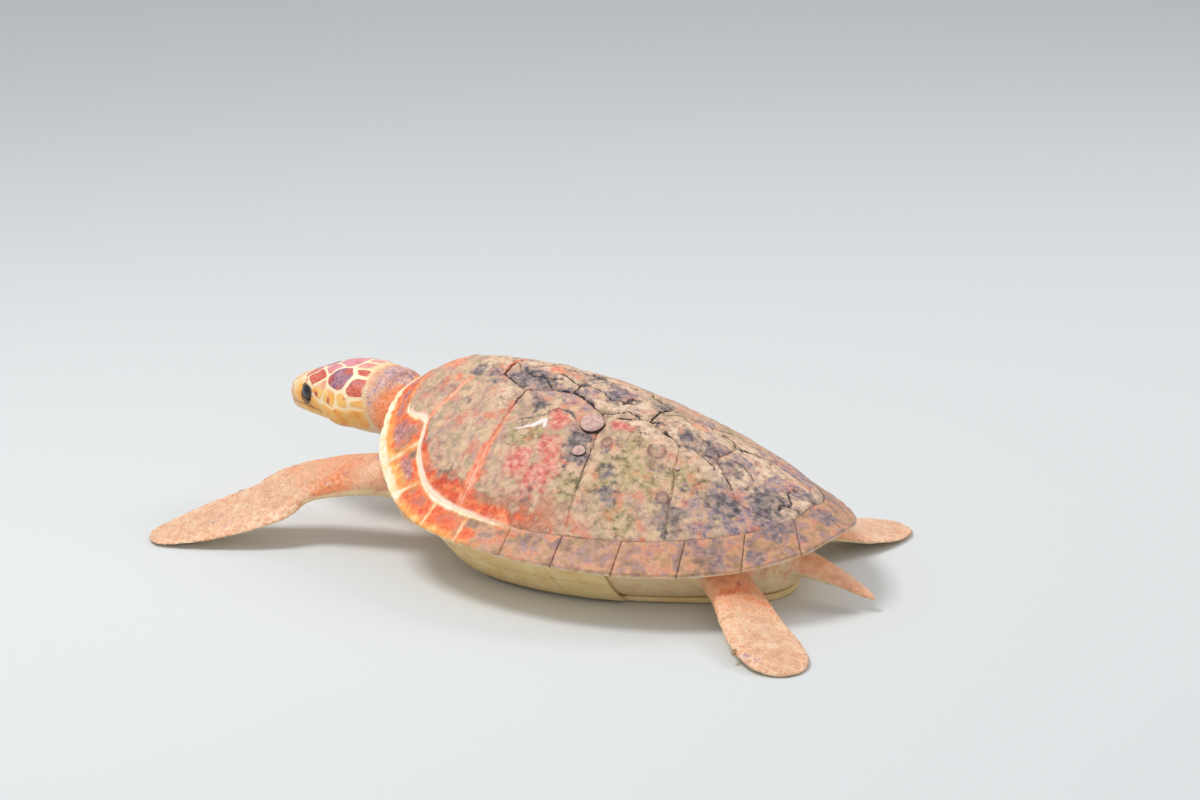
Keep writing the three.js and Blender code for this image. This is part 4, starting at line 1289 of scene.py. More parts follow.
def limb_frame(rows, lead, share):
    """Centre, direction, way to the leading edge, up, chord and thickness at shares of a limb's line."""
    table = np.column_stack([np.linspace(0, 1, len(rows)), np.array(rows, float)])
    values = through(table, share)
    centre, chord, thick, tilt = values[:, :3], values[:, 3], values[:, 4], values[:, 5]
    ahead, behind = through(table, np.minimum(share + 0.01, 1)), through(table, np.maximum(share - 0.01, 0))
    forward = unit(ahead[:, :3] - behind[:, :3])
    across = unit(np.column_stack([-forward[:, 1], forward[:, 0], 0 * share]) * lead)
    up = np.cross(forward, across)
    up *= np.sign(up[:, 2:])
    turn = np.radians(tilt)[:, None]
    to_lead = across * np.cos(turn) + up * np.sin(turn)
    lift = up * np.cos(turn) - across * np.sin(turn)
    return centre, forward, to_lead, lift, chord, thick


def limb_section(rows, lead, share, angle):
    """Points of a flipper at shares of its length and angles round its section.

    The section is a flat oval, thinner towards the trailing edge, and it shrinks to a rounded tip. Nothing
    goes below the floor."""
    centre, _, to_lead, lift, chord, thick = limb_frame(rows, lead, share)
    along, rise = np.cos(angle), np.sin(angle)
    taper = 1 + (TRAILING_TAPER * along - TRAILING_TAPER) * np.clip(share * 2, 0, 1)[:, None]
    tip = np.sqrt(1 - 0.88 * np.clip((share - 0.92) / 0.08, 0, 1) ** 2)[:, None]
    reach = (chord / 2)[:, None] * along * tip
    rings = centre[:, None] + to_lead[:, None] * reach[..., None]
    rings = rings + lift[:, None] * (rise * (thick / 2)[:, None] * taper * (0.4 + 0.6 * tip))[..., None]
    rings[..., 2] = np.maximum(rings[..., 2], 0)
    return rings


def limb_rings(rows, lead, stations=90, count=48):
    """A flipper as rings, closer together at its tip."""
    share = 1 - (1 - np.linspace(0, 1, stations)) ** 1.25
    return limb_section(rows, lead, share, once_round(count, 0.5))


def near_line(points, centre, margin):
    """The numbers of the points within a margin of a middle line's box."""
    low, high = centre.min(0) - margin, centre.max(0) + margin
    return np.flatnonzero(np.all((points > low) & (points < high), axis=1))


def settle_on_limbs(points):
    """Moves points of the outer flippers onto their own sections, which the cells had roughened.

    A point's share comes from its nearest station and its height along the middle line there, and its angle
    from its offset to the middle line, measured in half chords and half thicknesses."""
    first = 0.2  # the share at which the settled part begins
    for _, rows, lead, _ in LIMBS:
        share = np.linspace(first, 1, 200)
        centre, forward, *_ = limb_frame(rows, lead, share)
        near = near_line(points, centre, 70)
        parts = np.array_split(points[near], 8)
        nearest = np.concatenate([np.linalg.norm(p[:, None] - centre, axis=-1).argmin(1) for p in parts])
        length = np.linalg.norm(np.diff(centre, axis=0), axis=1).sum() / (1 - first)
        step = ((points[near] - centre[nearest]) * forward[nearest]).sum(1) / length
        t = np.clip(share[nearest] + step, first, 1)
        middle, _, to_lead, lift, chord, thick = limb_frame(rows, lead, t)
        offset = points[near] - middle
        a = (offset * to_lead).sum(1) / (chord / 2)
        taper = 1 + TRAILING_TAPER * (np.clip(a, -1, 1) - 1) * np.clip(t * 2, 0, 1)
        b = (offset * lift).sum(1) / (thick / 2 * taper)
        target = limb_section(rows, lead, t, np.arctan2(b, a)[:, None])[:, 0]
        moved = smooth(0.3, 0.44, t) * smooth(0.99, 0.965, t) * (np.hypot(a, b) < 1.5)
        points[near] += (target - points[near]) * moved[:, None]
    return points


def core_rings():
    """The flesh between shell and belly: rings round the animal, under the rim, and in over the plastron."""
    joint, side = joints_round(90)
    _, _, rim_z, spine = np.moveaxis(through(RIM, joint), -1, 0)
    rows = []
    for share, low in ((0.45, 0.62), (0.8, 0.72), (1.0, 0.85)):
        ring = shell_point(joint, share * seam_share(joint, 3), side)
        ring[:, 2] = rim_z + (ring[:, 2] - rim_z) * low - 13
        rows.append(ring)
    for share in (0.0, 0.2, 0.4, 0.6, 0.8, 1.0):
        rows.append(under_point(joint, share, side, 12))
    keel = np.minimum(spine, KEEL_END)
    px, py = np.moveaxis(through(PLASTRON, joint), -1, 0)
    above_belly = np.full(len(joint), BELLY + 3.0)
    rows.append(np.column_stack([side * px * 0.4, keel + (py - keel) * 0.4, above_belly]))
    return np.array(rows)


def collar_rings(side):
    """A fold of skin that lines the shell's front rim from the nuchal plate to the third marginal."""
    joint = np.linspace(FIRST_JOINT, 3.6, 60)
    inset = through(MARGINAL_WIDTH, joint)[..., 0] * 0.55
    edge = shell_point(joint, 1 - inset / spoke_length(joint), side)
    edge[:, 2] = through(RIM, joint)[..., 2] - 17
    along = unit(np.gradient(edge, axis=0))
    across = unit(np.cross(along, [0, 0, 1]))
    up = np.cross(across, along)
    return tube(edge, 15 * smooth(3.7, 2.4, joint) + 5, across[:, None], up[:, None], 24)


def ball_rings(x, y, z, rx, ry, rz):
    """Rings of an ellipsoid."""
    turn = np.linspace(-math.pi / 2, math.pi / 2, 22)[1:-1, None]
    angle, flat = once_round(32), np.cos(turn)
    up = z + rz * np.sin(turn) + 0 * angle
    return np.stack([x + rx * flat * np.cos(angle), y + ry * flat * np.sin(angle), up], -1)


def head_rings():
    """The head: superellipse rings from the neck to the snout, closer together towards the tip."""
    share = np.append(np.linspace(-0.12, 0.9, 50), [0.93, 0.96, 0.985, 1.0, 1.012])
    half_width, top, bottom = through(HEAD, np.minimum(share, 1)).T
    shrink = np.where(share > 1, 0.6, 1.0)
    middle, half = (top + bottom) / 2, (top - bottom) / 2 * shrink
    y = HEAD_BACK - HEAD_LENGTH * share
    return oval_ring(y, half_width * shrink, middle + half, middle - half, HEAD_SQUARE, HEAD_CROWN)


# Shoulder, hip, jaw muscle and brow of the left side: x, y, z and the radii along them
MUSCLES = (
    (128, -372, 128, 62, 66, 58),
    (112, 262, 76, 64, 62, 44),
    (52, -596, 214, 40, 52, 40),
    (50, -664, 246, 22, 30, 18),
)


def skin_lofts():
    """All the overlapping closed lofts that the remesh joins into one skin."""
    back = np.linspace(380, 560, 40)
    neck = through(np.array(NECK) * [-1, 1, 1, 1], back)
    lofts = [oval_ring(-back, *neck.T, 2.2, 0.05), head_rings(), core_rings()]
    lofts += [limb_rings(rows, lead) for _, rows, lead, _ in LIMBS]
    lofts.append(limb_rings(TAIL, 1, 50, 32))
    lofts += [collar_rings(side) for _, side in SIDES]
    for _, side in SIDES:
        lofts += [ball_rings(side * x, *rest) for x, *rest in MUSCLES]
    return lofts


def remeshed(lofts, voxel, rounds):
    """The union of closed lofts: one mesh of even cells, smoothed a few times."""
    points, faces, start = [], [], 0
    for rings in lofts:
        p, f = closed_loft(rings)
        points.append(p)
        faces += [[v + start for v in face] for face in f]
        start += len(p)
    piece = make_solid("skin_lofts", np.concatenate(points), faces)
    remesh = piece.modifiers.new("one_skin", "REMESH")
    remesh.mode, remesh.voxel_size = "VOXEL", voxel * MM
    soften = piece.modifiers.new("soften", "SMOOTH")
    soften.factor, soften.iterations = 0.5, rounds
    shape = bpy.data.meshes.new_from_object(piece.evaluated_get(bpy.context.evaluated_depsgraph_get()))
    bpy.data.objects.remove(piece)
    return shape


def coordinates(mesh):
    """A mesh's vertices in millimetres."""
    co = np.empty(len(mesh.vertices) * 3)
    mesh.vertices.foreach_get("co", co)
    return co.reshape(-1, 3) / MM


def normals_of(mesh):
    """A mesh's vertex normals."""
    out = np.empty(len(mesh.vertices) * 3, np.float32)
    mesh.vertex_normals.foreach_get("vector", out)
    return out.reshape(-1, 3).astype(float)


def move_to(mesh, points):
    """Moves a mesh's vertices to points in millimetres."""
    mesh.vertices.foreach_set("co", (points * MM).ravel())
    mesh.update()


def hidden_core(points):
    """True deep inside the shell or over the plastron, where nothing of the flesh shows."""
    joint, out, _ = spoke_through(points[:, 0], points[:, 1])
    deck = (points[:, 2] > through(RIM, joint)[..., 2] - 26) & (out < 0.9 * seam_share(joint))
    px, py = np.moveaxis(through(PLASTRON, joint), -1, 0)
    inside = np.hypot(points[:, 0], points[:, 1] / 1.6) < 0.86 * np.hypot(px, py / 1.6)
    middle = (points[:, 1] > -110) & (points[:, 1] < 50)
    return deck | middle | (inside & (points[:, 2] < 24) & (np.abs(points[:, 1]) < 300))


def trim_and_refine(mesh):
    """Drops the hidden core, closes the holes it leaves, and halves the head's cells."""
    work = bmesh.new()
    work.from_mesh(mesh)
    hidden = hidden_core(coordinates(mesh))
    work.verts.ensure_lookup_table()
    bmesh.ops.delete(work, geom=[v for v, gone in zip(work.verts, hidden) if gone], context="VERTS")
    bmesh.ops.delete(work, geom=[v for v in work.verts if not v.link_faces], context="VERTS")
    bmesh.ops.holes_fill(work, edges=[e for e in work.edges if e.is_boundary], sides=0)

    def on_head(edge):
        """True where both ends lie on the head, in metres."""
        x, y, z = zip(*(v.co for v in edge.verts))
        return min(y) < -0.540 and max(x) < 0.1 and min(x) > -0.1 and min(z) > 0.14

    head = [e for e in work.edges if on_head(e)]
    bmesh.ops.subdivide_edges(work, edges=head, cuts=1, use_grid_fill=True)
    bmesh.ops.triangulate(work, faces=[f for f in work.faces if len(f.verts) > 4])
    bmesh.ops.recalc_face_normals(work, faces=work.faces)
    work.to_mesh(mesh)
    work.free()


def relax(points, edges, chosen, rounds):
    """Moves the chosen points halfway to the mean of their neighbours, a few times."""
    size, (a, b) = len(points), edges.T
    count = np.bincount(a, minlength=size) + np.bincount(b, minlength=size)
    for _ in range(rounds):
        sums = [np.bincount(a, v[b], size) + np.bincount(b, v[a], size) for v in points.T]
        mean = np.column_stack(sums) / np.maximum(count, 1)[:, None]
        points = points + 0.5 * chosen[:, None] * (mean - points)
    return points


# Head scales on the left side and the middle line: x, y, z, weight, then how red, violet and rose they are
HEAD_SCALES = (
    (0, -738, 242, 0, 0.0, 0.0, 0.0),
    (16, -718, 252, 0, 0.3, 0.2, 0.5),
    (20, -692, 264, 8, 0.75, 0.7, 0.4),
    (0, -664, 274, 4, 0.85, 0.6, 0.3),
    (48, -662, 259, 8, 1.0, 0.1, 0.2),
    (0, -616, 290, 18, 0.9, 0.6, 0.7),
    (32, -640, 279, 4, 0.9, 0.5, 0.6),
    (60, -600, 269, 15, 1.0, 0.62, 0.0),
    (73, -561, 260, 12, 1.0, 0.3, 0.0),
    (46, -562, 291, 2, 0.75, 0.1, 0.1),
    (16, -566, 294, 4, 0.6, 0.3, 0.6),
    (70, -642, 240, 0, 0.1, 0.0, 0.0),
    (80, -614, 232, 2, 0.15, 0.0, 0.0),
    (84, -586, 234, 0, 0.0, 0.0, 0.0),
    (86, -556, 236, 0, 0.0, 0.0, 0.0),
    (68, -652, 216, 0, 0.0, 0.0, 0.0),
    (82, -622, 208, 2, 0.0, 0.0, 0.0),
    (86, -590, 206, 2, 0.0, 0.0, 0.0),
    (86, -558, 206, 2, 0.0, 0.0, 0.0),
    (52, -708, 230, 0, 0.1, 0.0, 0.0),
    (62, -690, 252, 0, 0.1, 0.0, 0.0),
    (74, -612, 182, 0, 0.0, 0.0, 0.0),
    (70, -570, 178, 0, 0.0, 0.0, 0.0),
    (56, -660, 190, 0, 0.0, 0.0, 0.0),
    (30, -720, 200, 0, 0.0, 0.0, 0.0),
)
# Red dots on the side of the head: y, z, radius along y, radius along z
HEAD_DOTS = ((-650, 235, 7, 7), (-616, 230, 5, 10), (-664, 208, 4, 7), (-577, 240, 6, 4), (-598, 214, 3, 4))


def head_pattern(points):
    """Colours and border distance of the head's scales, from the distances to their middles.

    Each scale is the set of points nearest its middle, less a weight that makes it larger. The distance to
    its border is half the difference of the squared distances over the gap between the two middles, and the
    least of these is softened, which rounds the corners."""
    rows = np.array(HEAD_SCALES, float)
    rows = np.concatenate([rows, rows[rows[:, 0] > 0] * [-1, 1, 1, 1, 1, 1, 1]])
    squared = ((points[:, None] - rows[:, :3]) ** 2).sum(-1) - 30 * rows[:, 3]
    nearest = squared.argmin(1)
    gap = np.linalg.norm(rows[nearest][:, None, :3] - rows[:, :3], axis=-1)
    border = (squared - squared.min(1)[:, None]) / (2 * np.maximum(gap, 1e-6))
    border[gap < 1e-6] = 1e3
    softness = 2.4
    depth = -softness * np.log(np.exp(-np.minimum(border, 60) / softness).sum(1))
    return rows[nearest, 4:], depth


def eye_reach(points):
    """Distance from the eye's middle in half openings: 1 along the lids' edge."""
    return np.hypot((points[:, 1] - EYE_Y) / EYE_HALF_LENGTH, (points[:, 2] - EYE_Z) / EYE_HALF_HEIGHT)


def shape_head(points, normals):
    """Scales, mouth line, eyelids, sockets and nostrils of the head, with the masks that colour them."""
    x, y, z = np.abs(points[:, 0]), points[:, 1], points[:, 2]
    head = smooth(-530, -552, y + 0.2 * (z - 240) + 4 * noise(points, 18, 80)) * smooth(125, 110, x)
    some = np.flatnonzero(head > 0)
    colours, depth = np.zeros((len(points), 3)), np.full(len(points), -9.0)
    colours[some], depth[some] = head_pattern(points[some] + 2.4 * shifts(points[some], 16, 81, 82, 83))
    shield, violet, rose = colours.T
    upper = smooth(205, 222, z)
    move = head * (1.1 * smooth(0.5, 5.5, depth) - 0.6) * (0.35 + 0.65 * upper)
    # mouth
    mouth_gap = line_distance(np.stack([y, z], -1), MOUTH)
    groove = bell(mouth_gap, 2.2) * smooth(-634, -644, y) * head
    move = move - 2.4 * groove - 0.9 * bell(mouth_gap, 8) * smooth(-634, -650, y) * head
    # folds of the lids: middle, width and height of each, by distance from the eye in half openings
    lid = eye_reach(points)
    near_eye = (x > 30) & (lid < 2.6) & (y < -560)
    folds = sum(height * bell(lid - middle, width) for middle, width, height in LID_FOLDS)
    move = move + np.where(near_eye, folds * (0.75 + 0.25 * smooth(EYE_Z - 10, EYE_Z + 14, z)), 0)
    nostril = np.hypot((x - 9) / 1.2, (z - 233) / 0.9)
    move = move - 4.5 * bell(nostril, 3.2) * smooth(-738, -744, y)
    points = points + normals * move[:, None]
    # inside the opening the skin is drawn back behind the eyeball
    ball = EYE_RADIUS**2 - (points[:, 1] - EYE_Y) ** 2 - (points[:, 2] - EYE_Z) ** 2
    ball = np.sqrt(np.maximum(ball, 0))
    inside = smooth(1.04, 0.88, lid) * near_eye
    out = np.abs(points[:, 0])
    sunk = np.minimum(out, EYE_X + ball - 4.0)
    points[:, 0] = np.sign(points[:, 0]) * (out * (1 - inside) + sunk * inside)
    width = 2.4 + 1.4 * smooth(-610, -560, y)
    dots = np.zeros(len(points))
    for dot_y, dot_z, radius_y, radius_z in HEAD_DOTS:
        reach = np.hypot((y - dot_y) / radius_y, (z - dot_z) / radius_z)
        dots = np.maximum(dots, bell(reach, 1.0) * (x > 40))
    strong = shield * smooth(width - 1.4, width + 1.4, depth)
    strong = strong * smooth(216, 232, z + 4 * noise(points, 14, 91))
    red = np.clip(np.maximum(strong, 0.9 * dots) * head, 0, 1)
    seam = smooth(width + 1.6, width - 1.0, depth) * head
    masks = {
        "head": head,
        "smooth": head,
        "shield": red * (1 - smooth(1.9, 1.6, lid) * near_eye),
        "violet": violet * smooth(230, 262, z + 0.2 * (y + 600)) + 0.25 * noise(points, 24, 95),
        "rose": rose,
        "seam": seam * (0.2 + 0.8 * np.maximum(upper * 0.6, shield)),
        "yellow": head * smooth(258, 236, z) * smooth(170, 196, z) * smooth(-735, -700, y),
        # the line mask: the dark mouth groove, and a dark ring on the lids out to 1.5 half openings, which is
        # dark lid skin and painted shade of the lids and the socket together
        "line": np.maximum(0.75 * groove, np.where(near_eye, 0.8 * smooth(1.5, 1.15, lid), 0)),
    }
    return points, masks


def limb_position(points):
    """Share along, and share across, of the nearest flipper's middle line, and the distance to it."""
    best = np.full(len(points), 1e9)
    along, across = np.zeros(len(points)), np.zeros(len(points))
    share = np.linspace(0.12, 1, 60)
    for _, rows, lead, _ in LIMBS:
        centre, _, to_lead, _, chord, _ = limb_frame(rows, lead, share)
        near = near_line(points, centre, 90)
        gap = np.linalg.norm(points[near][:, None] - centre, axis=-1)
        k = gap.argmin(1)
        offset = ((points[near] - centre[k]) * to_lead[k]).sum(-1) / (chord[k] / 2)
        closer = gap.min(1) < best[near]
        chosen = near[closer]
        best[chosen], along[chosen], across[chosen] = gap.min(1)[closer], share[k][closer], offset[closer]
    return along, across, best


def shape_body(points, normals, masks):
    """Wrinkles of the neck and shoulders, the flippers' edge scales, and the body's colour masks, one of them
    with painted shade under the shell's front rim.
    """
    x, y, z = np.abs(points[:, 0]), points[:, 1], points[:, 2]
    head, body = masks["head"], 1 - masks["head"]
    neck = smooth(-566, -524, y) * smooth(-300, -380, y) * body * smooth(145, 110, x)
    bent = y + 12 * noise(points, 60, 101) + 0.24 * (z - 220) - 0.18 * x
    folds = np.abs(np.sin(bent / 8.4)) ** 0.7 - 0.6
    move = 2.8 * folds * neck * (0.35 + 0.65 * smooth(-0.4, 0.5, noise(points, 34, 103)))
    along, across, gap = limb_position(points)
    limb = smooth(0.12, 0.3, along) * (gap < 110) * body
    lead_edge = smooth(0.55, 0.95, across) * limb * smooth(0.25, 0.4, along)
    move = move + 1.2 * lead_edge * (np.abs(np.sin(along * 44)) ** 0.6 - 0.5)
    creases = np.abs(noise(points * [1, 1, 1.3], 24, 107))
    move = move - 2.2 * smooth(0.14, 0.0, creases) * limb * smooth(0.5, 0.25, along)
    move = move + 0.6 * fractal(points, 22, 3, 109) * body
    points = points + normals * move[:, None]
    ragged = fractal(points, 40, 3, 113)
    top = normals[:, 2]
    under = smooth(0.0, -0.5, top)
    front_left = smooth(120, 150, points[:, 0]) * smooth(-330, -360, y) * smooth(-470, -440, y)
    masks["big"] = smooth(0.4, 0.8, np.abs(across)) * limb * 0.9
    masks["plated"] = limb * smooth(-0.1, 0.5, top + 0.3 * ragged) * (0.4 + 0.5 * smooth(0.25, 0.5, along))
    masks["lined"] = 0.4 * limb * smooth(0.2, 0.4, along) + 0.12 * body
    shell_gap = smooth(-512, -470, y + 0.3 * x + 8 * ragged)
    cap = smooth(196, 274, z + 16 * ragged + 0.1 * (y + 540)) * smooth(-566, -520, y + 8 * ragged)
    cap = cap * (1 - 0.9 * shell_gap)
    # grey violet at the root of the front left flipper, just under the shell's front rim: painted shade of
    # the rim
    patch = front_left * smooth(-0.2, 0.4, ragged) * 0.9
    mottle = 0.6 * smooth(0.2, 0.8, ragged) * smooth(0.1, 0.6, top) * limb
    masks["dusk"] = strongest(cap * neck, patch, mottle) * body
    warm_neck = neck * np.maximum(shell_gap, 0.7 * smooth(246, 180, z + 12 * ragged))
    warm_limb = limb * (0.75 * smooth(0.5, 0.15, along) + 0.4 * smooth(-0.2, 0.6, ragged))
    masks["orange"] = np.clip(warm_neck + warm_limb, 0, 1) * (1 - 0.6 * under)
    band = bell(y + 541 + 0.2 * (z - 240) + 3 * ragged, 9) * (x < 125)
    chin = head * (0.2 + 0.6 * smooth(200, 172, z) + 0.5 * smooth(-690, -735, y))
    masks["pale"] = np.clip(0.8 * under * body + chin + 0.7 * band, 0, 1)
    return points, masks


def skin_mesh(voxel):
    """One skin: joined lofts, trimmed where hidden, finer on the head, then shaped point by point."""
    mesh = remeshed(skin_lofts(), voxel, 6)
    trim_and_refine(mesh)
    points = coordinates(mesh)
    edges = np.empty(len(mesh.edges) * 2, np.int64)
    mesh.edges.foreach_get("vertices", edges)
    points = settle_on_limbs(relax(points, edges.reshape(-1, 2), smooth(-530, -545, points[:, 1]), 3))
    move_to(mesh, points)
    points, masks = shape_head(points, normals_of(mesh))
    move_to(mesh, points)
    points, masks = shape_body(points, normals_of(mesh), masks)
    points[:, 2] = np.maximum(points[:, 2], 0)
    move_to(mesh, points)
    finish_mesh(mesh, masks)
    return mesh


def horn_over_skin(name, mesh, upper, thickness=1.6):
    """A sheath of horn: the skin's own faces near the mouth, lifted where the horn is and sunk beyond it.

    The lift is a ramp of the distance inside the sheath's border, so it meets the skin at the border."""
    points, normals = coordinates(mesh), normals_of(mesh)
    y, z = points[:, 1], points[:, 2]
    line = through(MOUTH[::-1], y)[:, 0]
    if upper:
        top = 208 + 22 * smooth(-690, -738, y) + 3 * smooth(-740, -750, y)
        depth = np.minimum.reduce([z - line + 0.4, top - z, (-692 - y) * 0.5 - 0.25 * (z - line)])
    else:
        depth = np.minimum.reduce([line - z - 0.8, z - 186, (-704 - y) * 0.5])
    depth = np.where(y < -680, depth, -9.0)
    faces = [f.vertices[:] for f in mesh.polygons if max(depth[v] for v in f.vertices) > -3.5]
    index = np.array(sorted({v for f in faces for v in f}))
    number = {v: i for i, v in enumerate(index.tolist())}
    lift = np.clip(depth[index] * 0.55, -1.6, 1.1 if upper else 0.9)
    outer = points[index] + normals[index] * lift[:, None]
    inner = points[index] - normals[index] * (thickness + 0.6)
    count = len(index)
    rows = [[number[v] for v in f] for f in faces]
    edges = dict.fromkeys(edge for f in rows for edge in zip(f, f[1:] + f[:1]))
    wall = [[b, a, a + count, b + count] for a, b in edges if (b, a) not in edges]
    back = [[v + count for v in reversed(f)] for f in rows]
    return make_solid(name, np.concatenate([outer, inner]), rows + back + wall)


def eyeball(name, side):
    """A sphere whose pole looks out sideways, with a pupil and iris as rings about the pole."""
    turn = np.linspace(0, math.pi, 40)[1:-1, None, None]
    angle = once_round(64)[:, None]
    look = unit(np.array([side * 0.92, -0.36, 0.12]))
    a = unit(np.cross([0, 0, 1], look))
    ring = np.sin(turn) * (a * np.cos(angle) + np.cross(look, a) * np.sin(angle))
    centre = np.array([side * EYE_X, EYE_Y, EYE_Z], float)
    points, faces = closed_loft(centre + EYE_RADIUS * (ring + np.cos(turn) * look))
    points[-2:] = centre + EYE_RADIUS * np.array([look, -look])
    facing = (points - centre) @ look / EYE_RADIUS
    masks = {"pupil": smooth(0.86, 0.9, facing), "white": smooth(0.62, 0.52, facing)}
    return make_solid(name, points, faces, masks)


def claw(name, rows, lead, share):
    """A claw: round sections that shrink along a short bent path from the leading edge."""
    centre, forward, to_lead, _, chord, _ = (v[0] for v in limb_frame(rows, lead, np.array([share])))
    aim = unit((to_lead + 0.9 * forward) * [1, 1, 0])
    start = centre + to_lead * (chord / 2 - 6)
    t = np.linspace(0, 1, 14)
    bend, drop = np.array([-aim[1], aim[0], 0]) * lead, np.array([0, 0, -2.5])
    path = start + aim * (22 * t)[:, None] + bend * (-3.5 * t**2)[:, None] + drop * (t**2)[:, None]
    radius = 4.8 * (1 - t**1.6) ** 0.7 + 0.15
    rings = tube(path, radius, np.cross(aim, [0, 0, 1]), np.array([0, 0, 0.8]), 20)
    return make_solid(name, *closed_loft(rings))


# ---------------------------------------------------------------- belly
# The plastron's rings from its middle line out and back in above: share of the way out, and height
PLASTRON_SHARES = (0.93, 0.955, 0.975, 0.99, 0.998, 0.998, 0.99, 0.9, 0.02)
PLASTRON_HEIGHTS = (0.3, 1.2, 2.6, 4.4, 7.0, 10.5, 13.2, BELLY, BELLY)
PLASTRON_SEAMS = (-250, -165, -60, 60, 165)
BRIDGE_SEAMS = (4.4, 5.5, 6.6)  # joints


def belly_plate(name):
    """The plastron: rings from its middle line out, round the edge and back in, grooved at its seams."""
    joint, side = joints_round(170)
    keel = np.minimum(through(RIM, joint)[..., 3], KEEL_END)
    px, py = np.moveaxis(through(PLASTRON, joint), -1, 0)
    flat = np.linspace(0.02, 0.9, 36)
    share = np.append(flat, PLASTRON_SHARES)[:, None]
    z = np.append(0 * flat, PLASTRON_HEIGHTS)[:, None]
    x = side * px * share
    y = keel + (py - keel) * share
    groove = strongest(bell(x, 2.0), *(bell(y - s + 0.00035 * x**2, 2.0) for s in PLASTRON_SEAMS))
    groove = groove * (np.arange(len(share)) < 40)[:, None]
    points, faces = closed_loft(np.stack([x, y, z + groove], -1))
    return make_solid(name, points, faces, {"crack": np.append(groove, [0, 0])})


def bridge_plate(name, side):
    """A bridge: the hollowed band between plastron and marginals, with the seams of its four plates."""
    joint = joints_between(*BRIDGE_JOINTS, 30)[:, None]
    share = np.linspace(0.0, 0.99, 34)
    outer = under_point(joint, share[None], side)
    inner = under_point(joint, share[None], side, BRIDGE)
    wander = 4 * noise(outer, 34, 65) + 1.5 * noise(outer, 11, 66)
    groove = strongest(*(bell((joint - j) * 95 + wander, 2.6) for j in BRIDGE_SEAMS))
    groove = strongest(groove, bell((share - 0.3) * 150 + wander, 2.6))
    outer[..., 2] += 1.1 * groove
    rings = np.concatenate([outer, inner[:, ::-1]], 1)
    rows, columns = rings.shape[:2]
    i = np.arange(columns // 2 - 1)
    cap = np.stack([i, i + 1, columns - 2 - i, columns - 1 - i], -1)
    faces = grid_faces(rows, columns) + cap[:, ::-1].tolist() + (cap + (rows - 1) * columns).tolist()
    crack = np.concatenate([0.6 * groove, 0 * groove], 1).ravel()
    return make_solid(name, rings.reshape(-1, 3), faces, {"crack": crack})


# ---------------------------------------------------------------- settings, operators, panel
class TurtleSettings(bpy.types.PropertyGroup):
    """Sizes and colours that a user would change."""

    skin_cell: bpy.props.FloatProperty(
        name="Skin cell",
        description="Cell of the skin's mesh, halved on the head",
        default=0.0044,
        min=0.002,
        subtype="DISTANCE",
        unit="LENGTH",
    )
    plate_cell: bpy.props.FloatProperty(
        name="Plate cell",
        description="Cell of the back plates' mesh",
        default=0.0027,
        min=0.002,
        subtype="DISTANCE",
        unit="LENGTH",
    )
    lens: bpy.props.FloatProperty(
        name="Lens",
        description="Focal length of the camera in millimetres",
        default=102.1,
        min=20,
    )
    azimuth: bpy.props.FloatProperty(
        name="Azimuth",
        description="Direction of the camera round the animal",
        default=math.radians(121.7),
        subtype="ANGLE",
        unit="ROTATION",
    )
    elevation: bpy.props.FloatProperty(
        name="Elevation",
        description="Camera above the horizon",
        default=math.radians(17.2),
        subtype="ANGLE",
        unit="ROTATION",
    )
    distance: bpy.props.FloatProperty(
        name="Distance",
        description="Camera to its target",
        default=6.216,
        subtype="DISTANCE",
        unit="LENGTH",
    )
    floor_colour: bpy.props.StringProperty(
        name="Floor colour",
        description="sRGB hex code of the floor",
        default="#d9dad8",
    )


class TURTLE_OT_back(bpy.types.Operator):
    """Builds the five vertebral and ten costal plates of the back"""

    bl_idname = "turtle.back"
    bl_label = "Back plates"

    def execute(self, context):
        span = context.scene.turtle.plate_cell / MM
        material = weathered_keratin()
        for i in range(5):
            name = f"vertebral_{i + 1}"
            piece = back_plate(f"back_{name}", plate_outline("vertebral", i), span, 3.5)
            place(piece, material, "back_plate", name)
            for side_name, side in SIDES:
                name = f"costal_{side_name}_{i + 1}"
                piece = back_plate(f"back_{name}", plate_outline("costal", i) * [side, 1], span)
                place(piece, material, "back_plate", name)
        return {"FINISHED"}


class TURTLE_OT_rim(bpy.types.Operator):
    """Builds the nuchal plate and the marginal plates round the rim"""

    bl_idname = "turtle.rim"
    bl_label = "Rim plates"

    def execute(self, context):
        material = rim_keratin()
        left = np.linspace(-0.002, FIRST_JOINT, 34)
        joint, side = np.append(left, left[-2::-1]), np.append(np.ones(34), -np.ones(33))
        place(rim_plate("rim_nuchal", joint, side), material, "rim_plate", "nuchal")
        for side_name, side in SIDES:
            for i in range(12):
                joint = np.linspace(i + 0.002, i + 0.998, 44)
                name = f"marginal_{side_name}_{i + 1:02d}"
                place(rim_plate(f"rim_{name}", joint, np.full(44, side)), material, "rim_plate", name)
        return {"FINISHED"}


class TURTLE_OT_belly(bpy.types.Operator):
    """Builds the plastron and the two bridges"""

    bl_idname = "turtle.belly"
    bl_label = "Plastron and bridges"

    def execute(self, context):
        material = belly_keratin()
        place(belly_plate("belly_plastron"), material, "belly_plate", "plastron")
        for side_name, side in SIDES:
            name = f"bridge_{side_name}"
            place(bridge_plate(f"belly_{name}", side), material, "belly_plate", name)
        return {"FINISHED"}


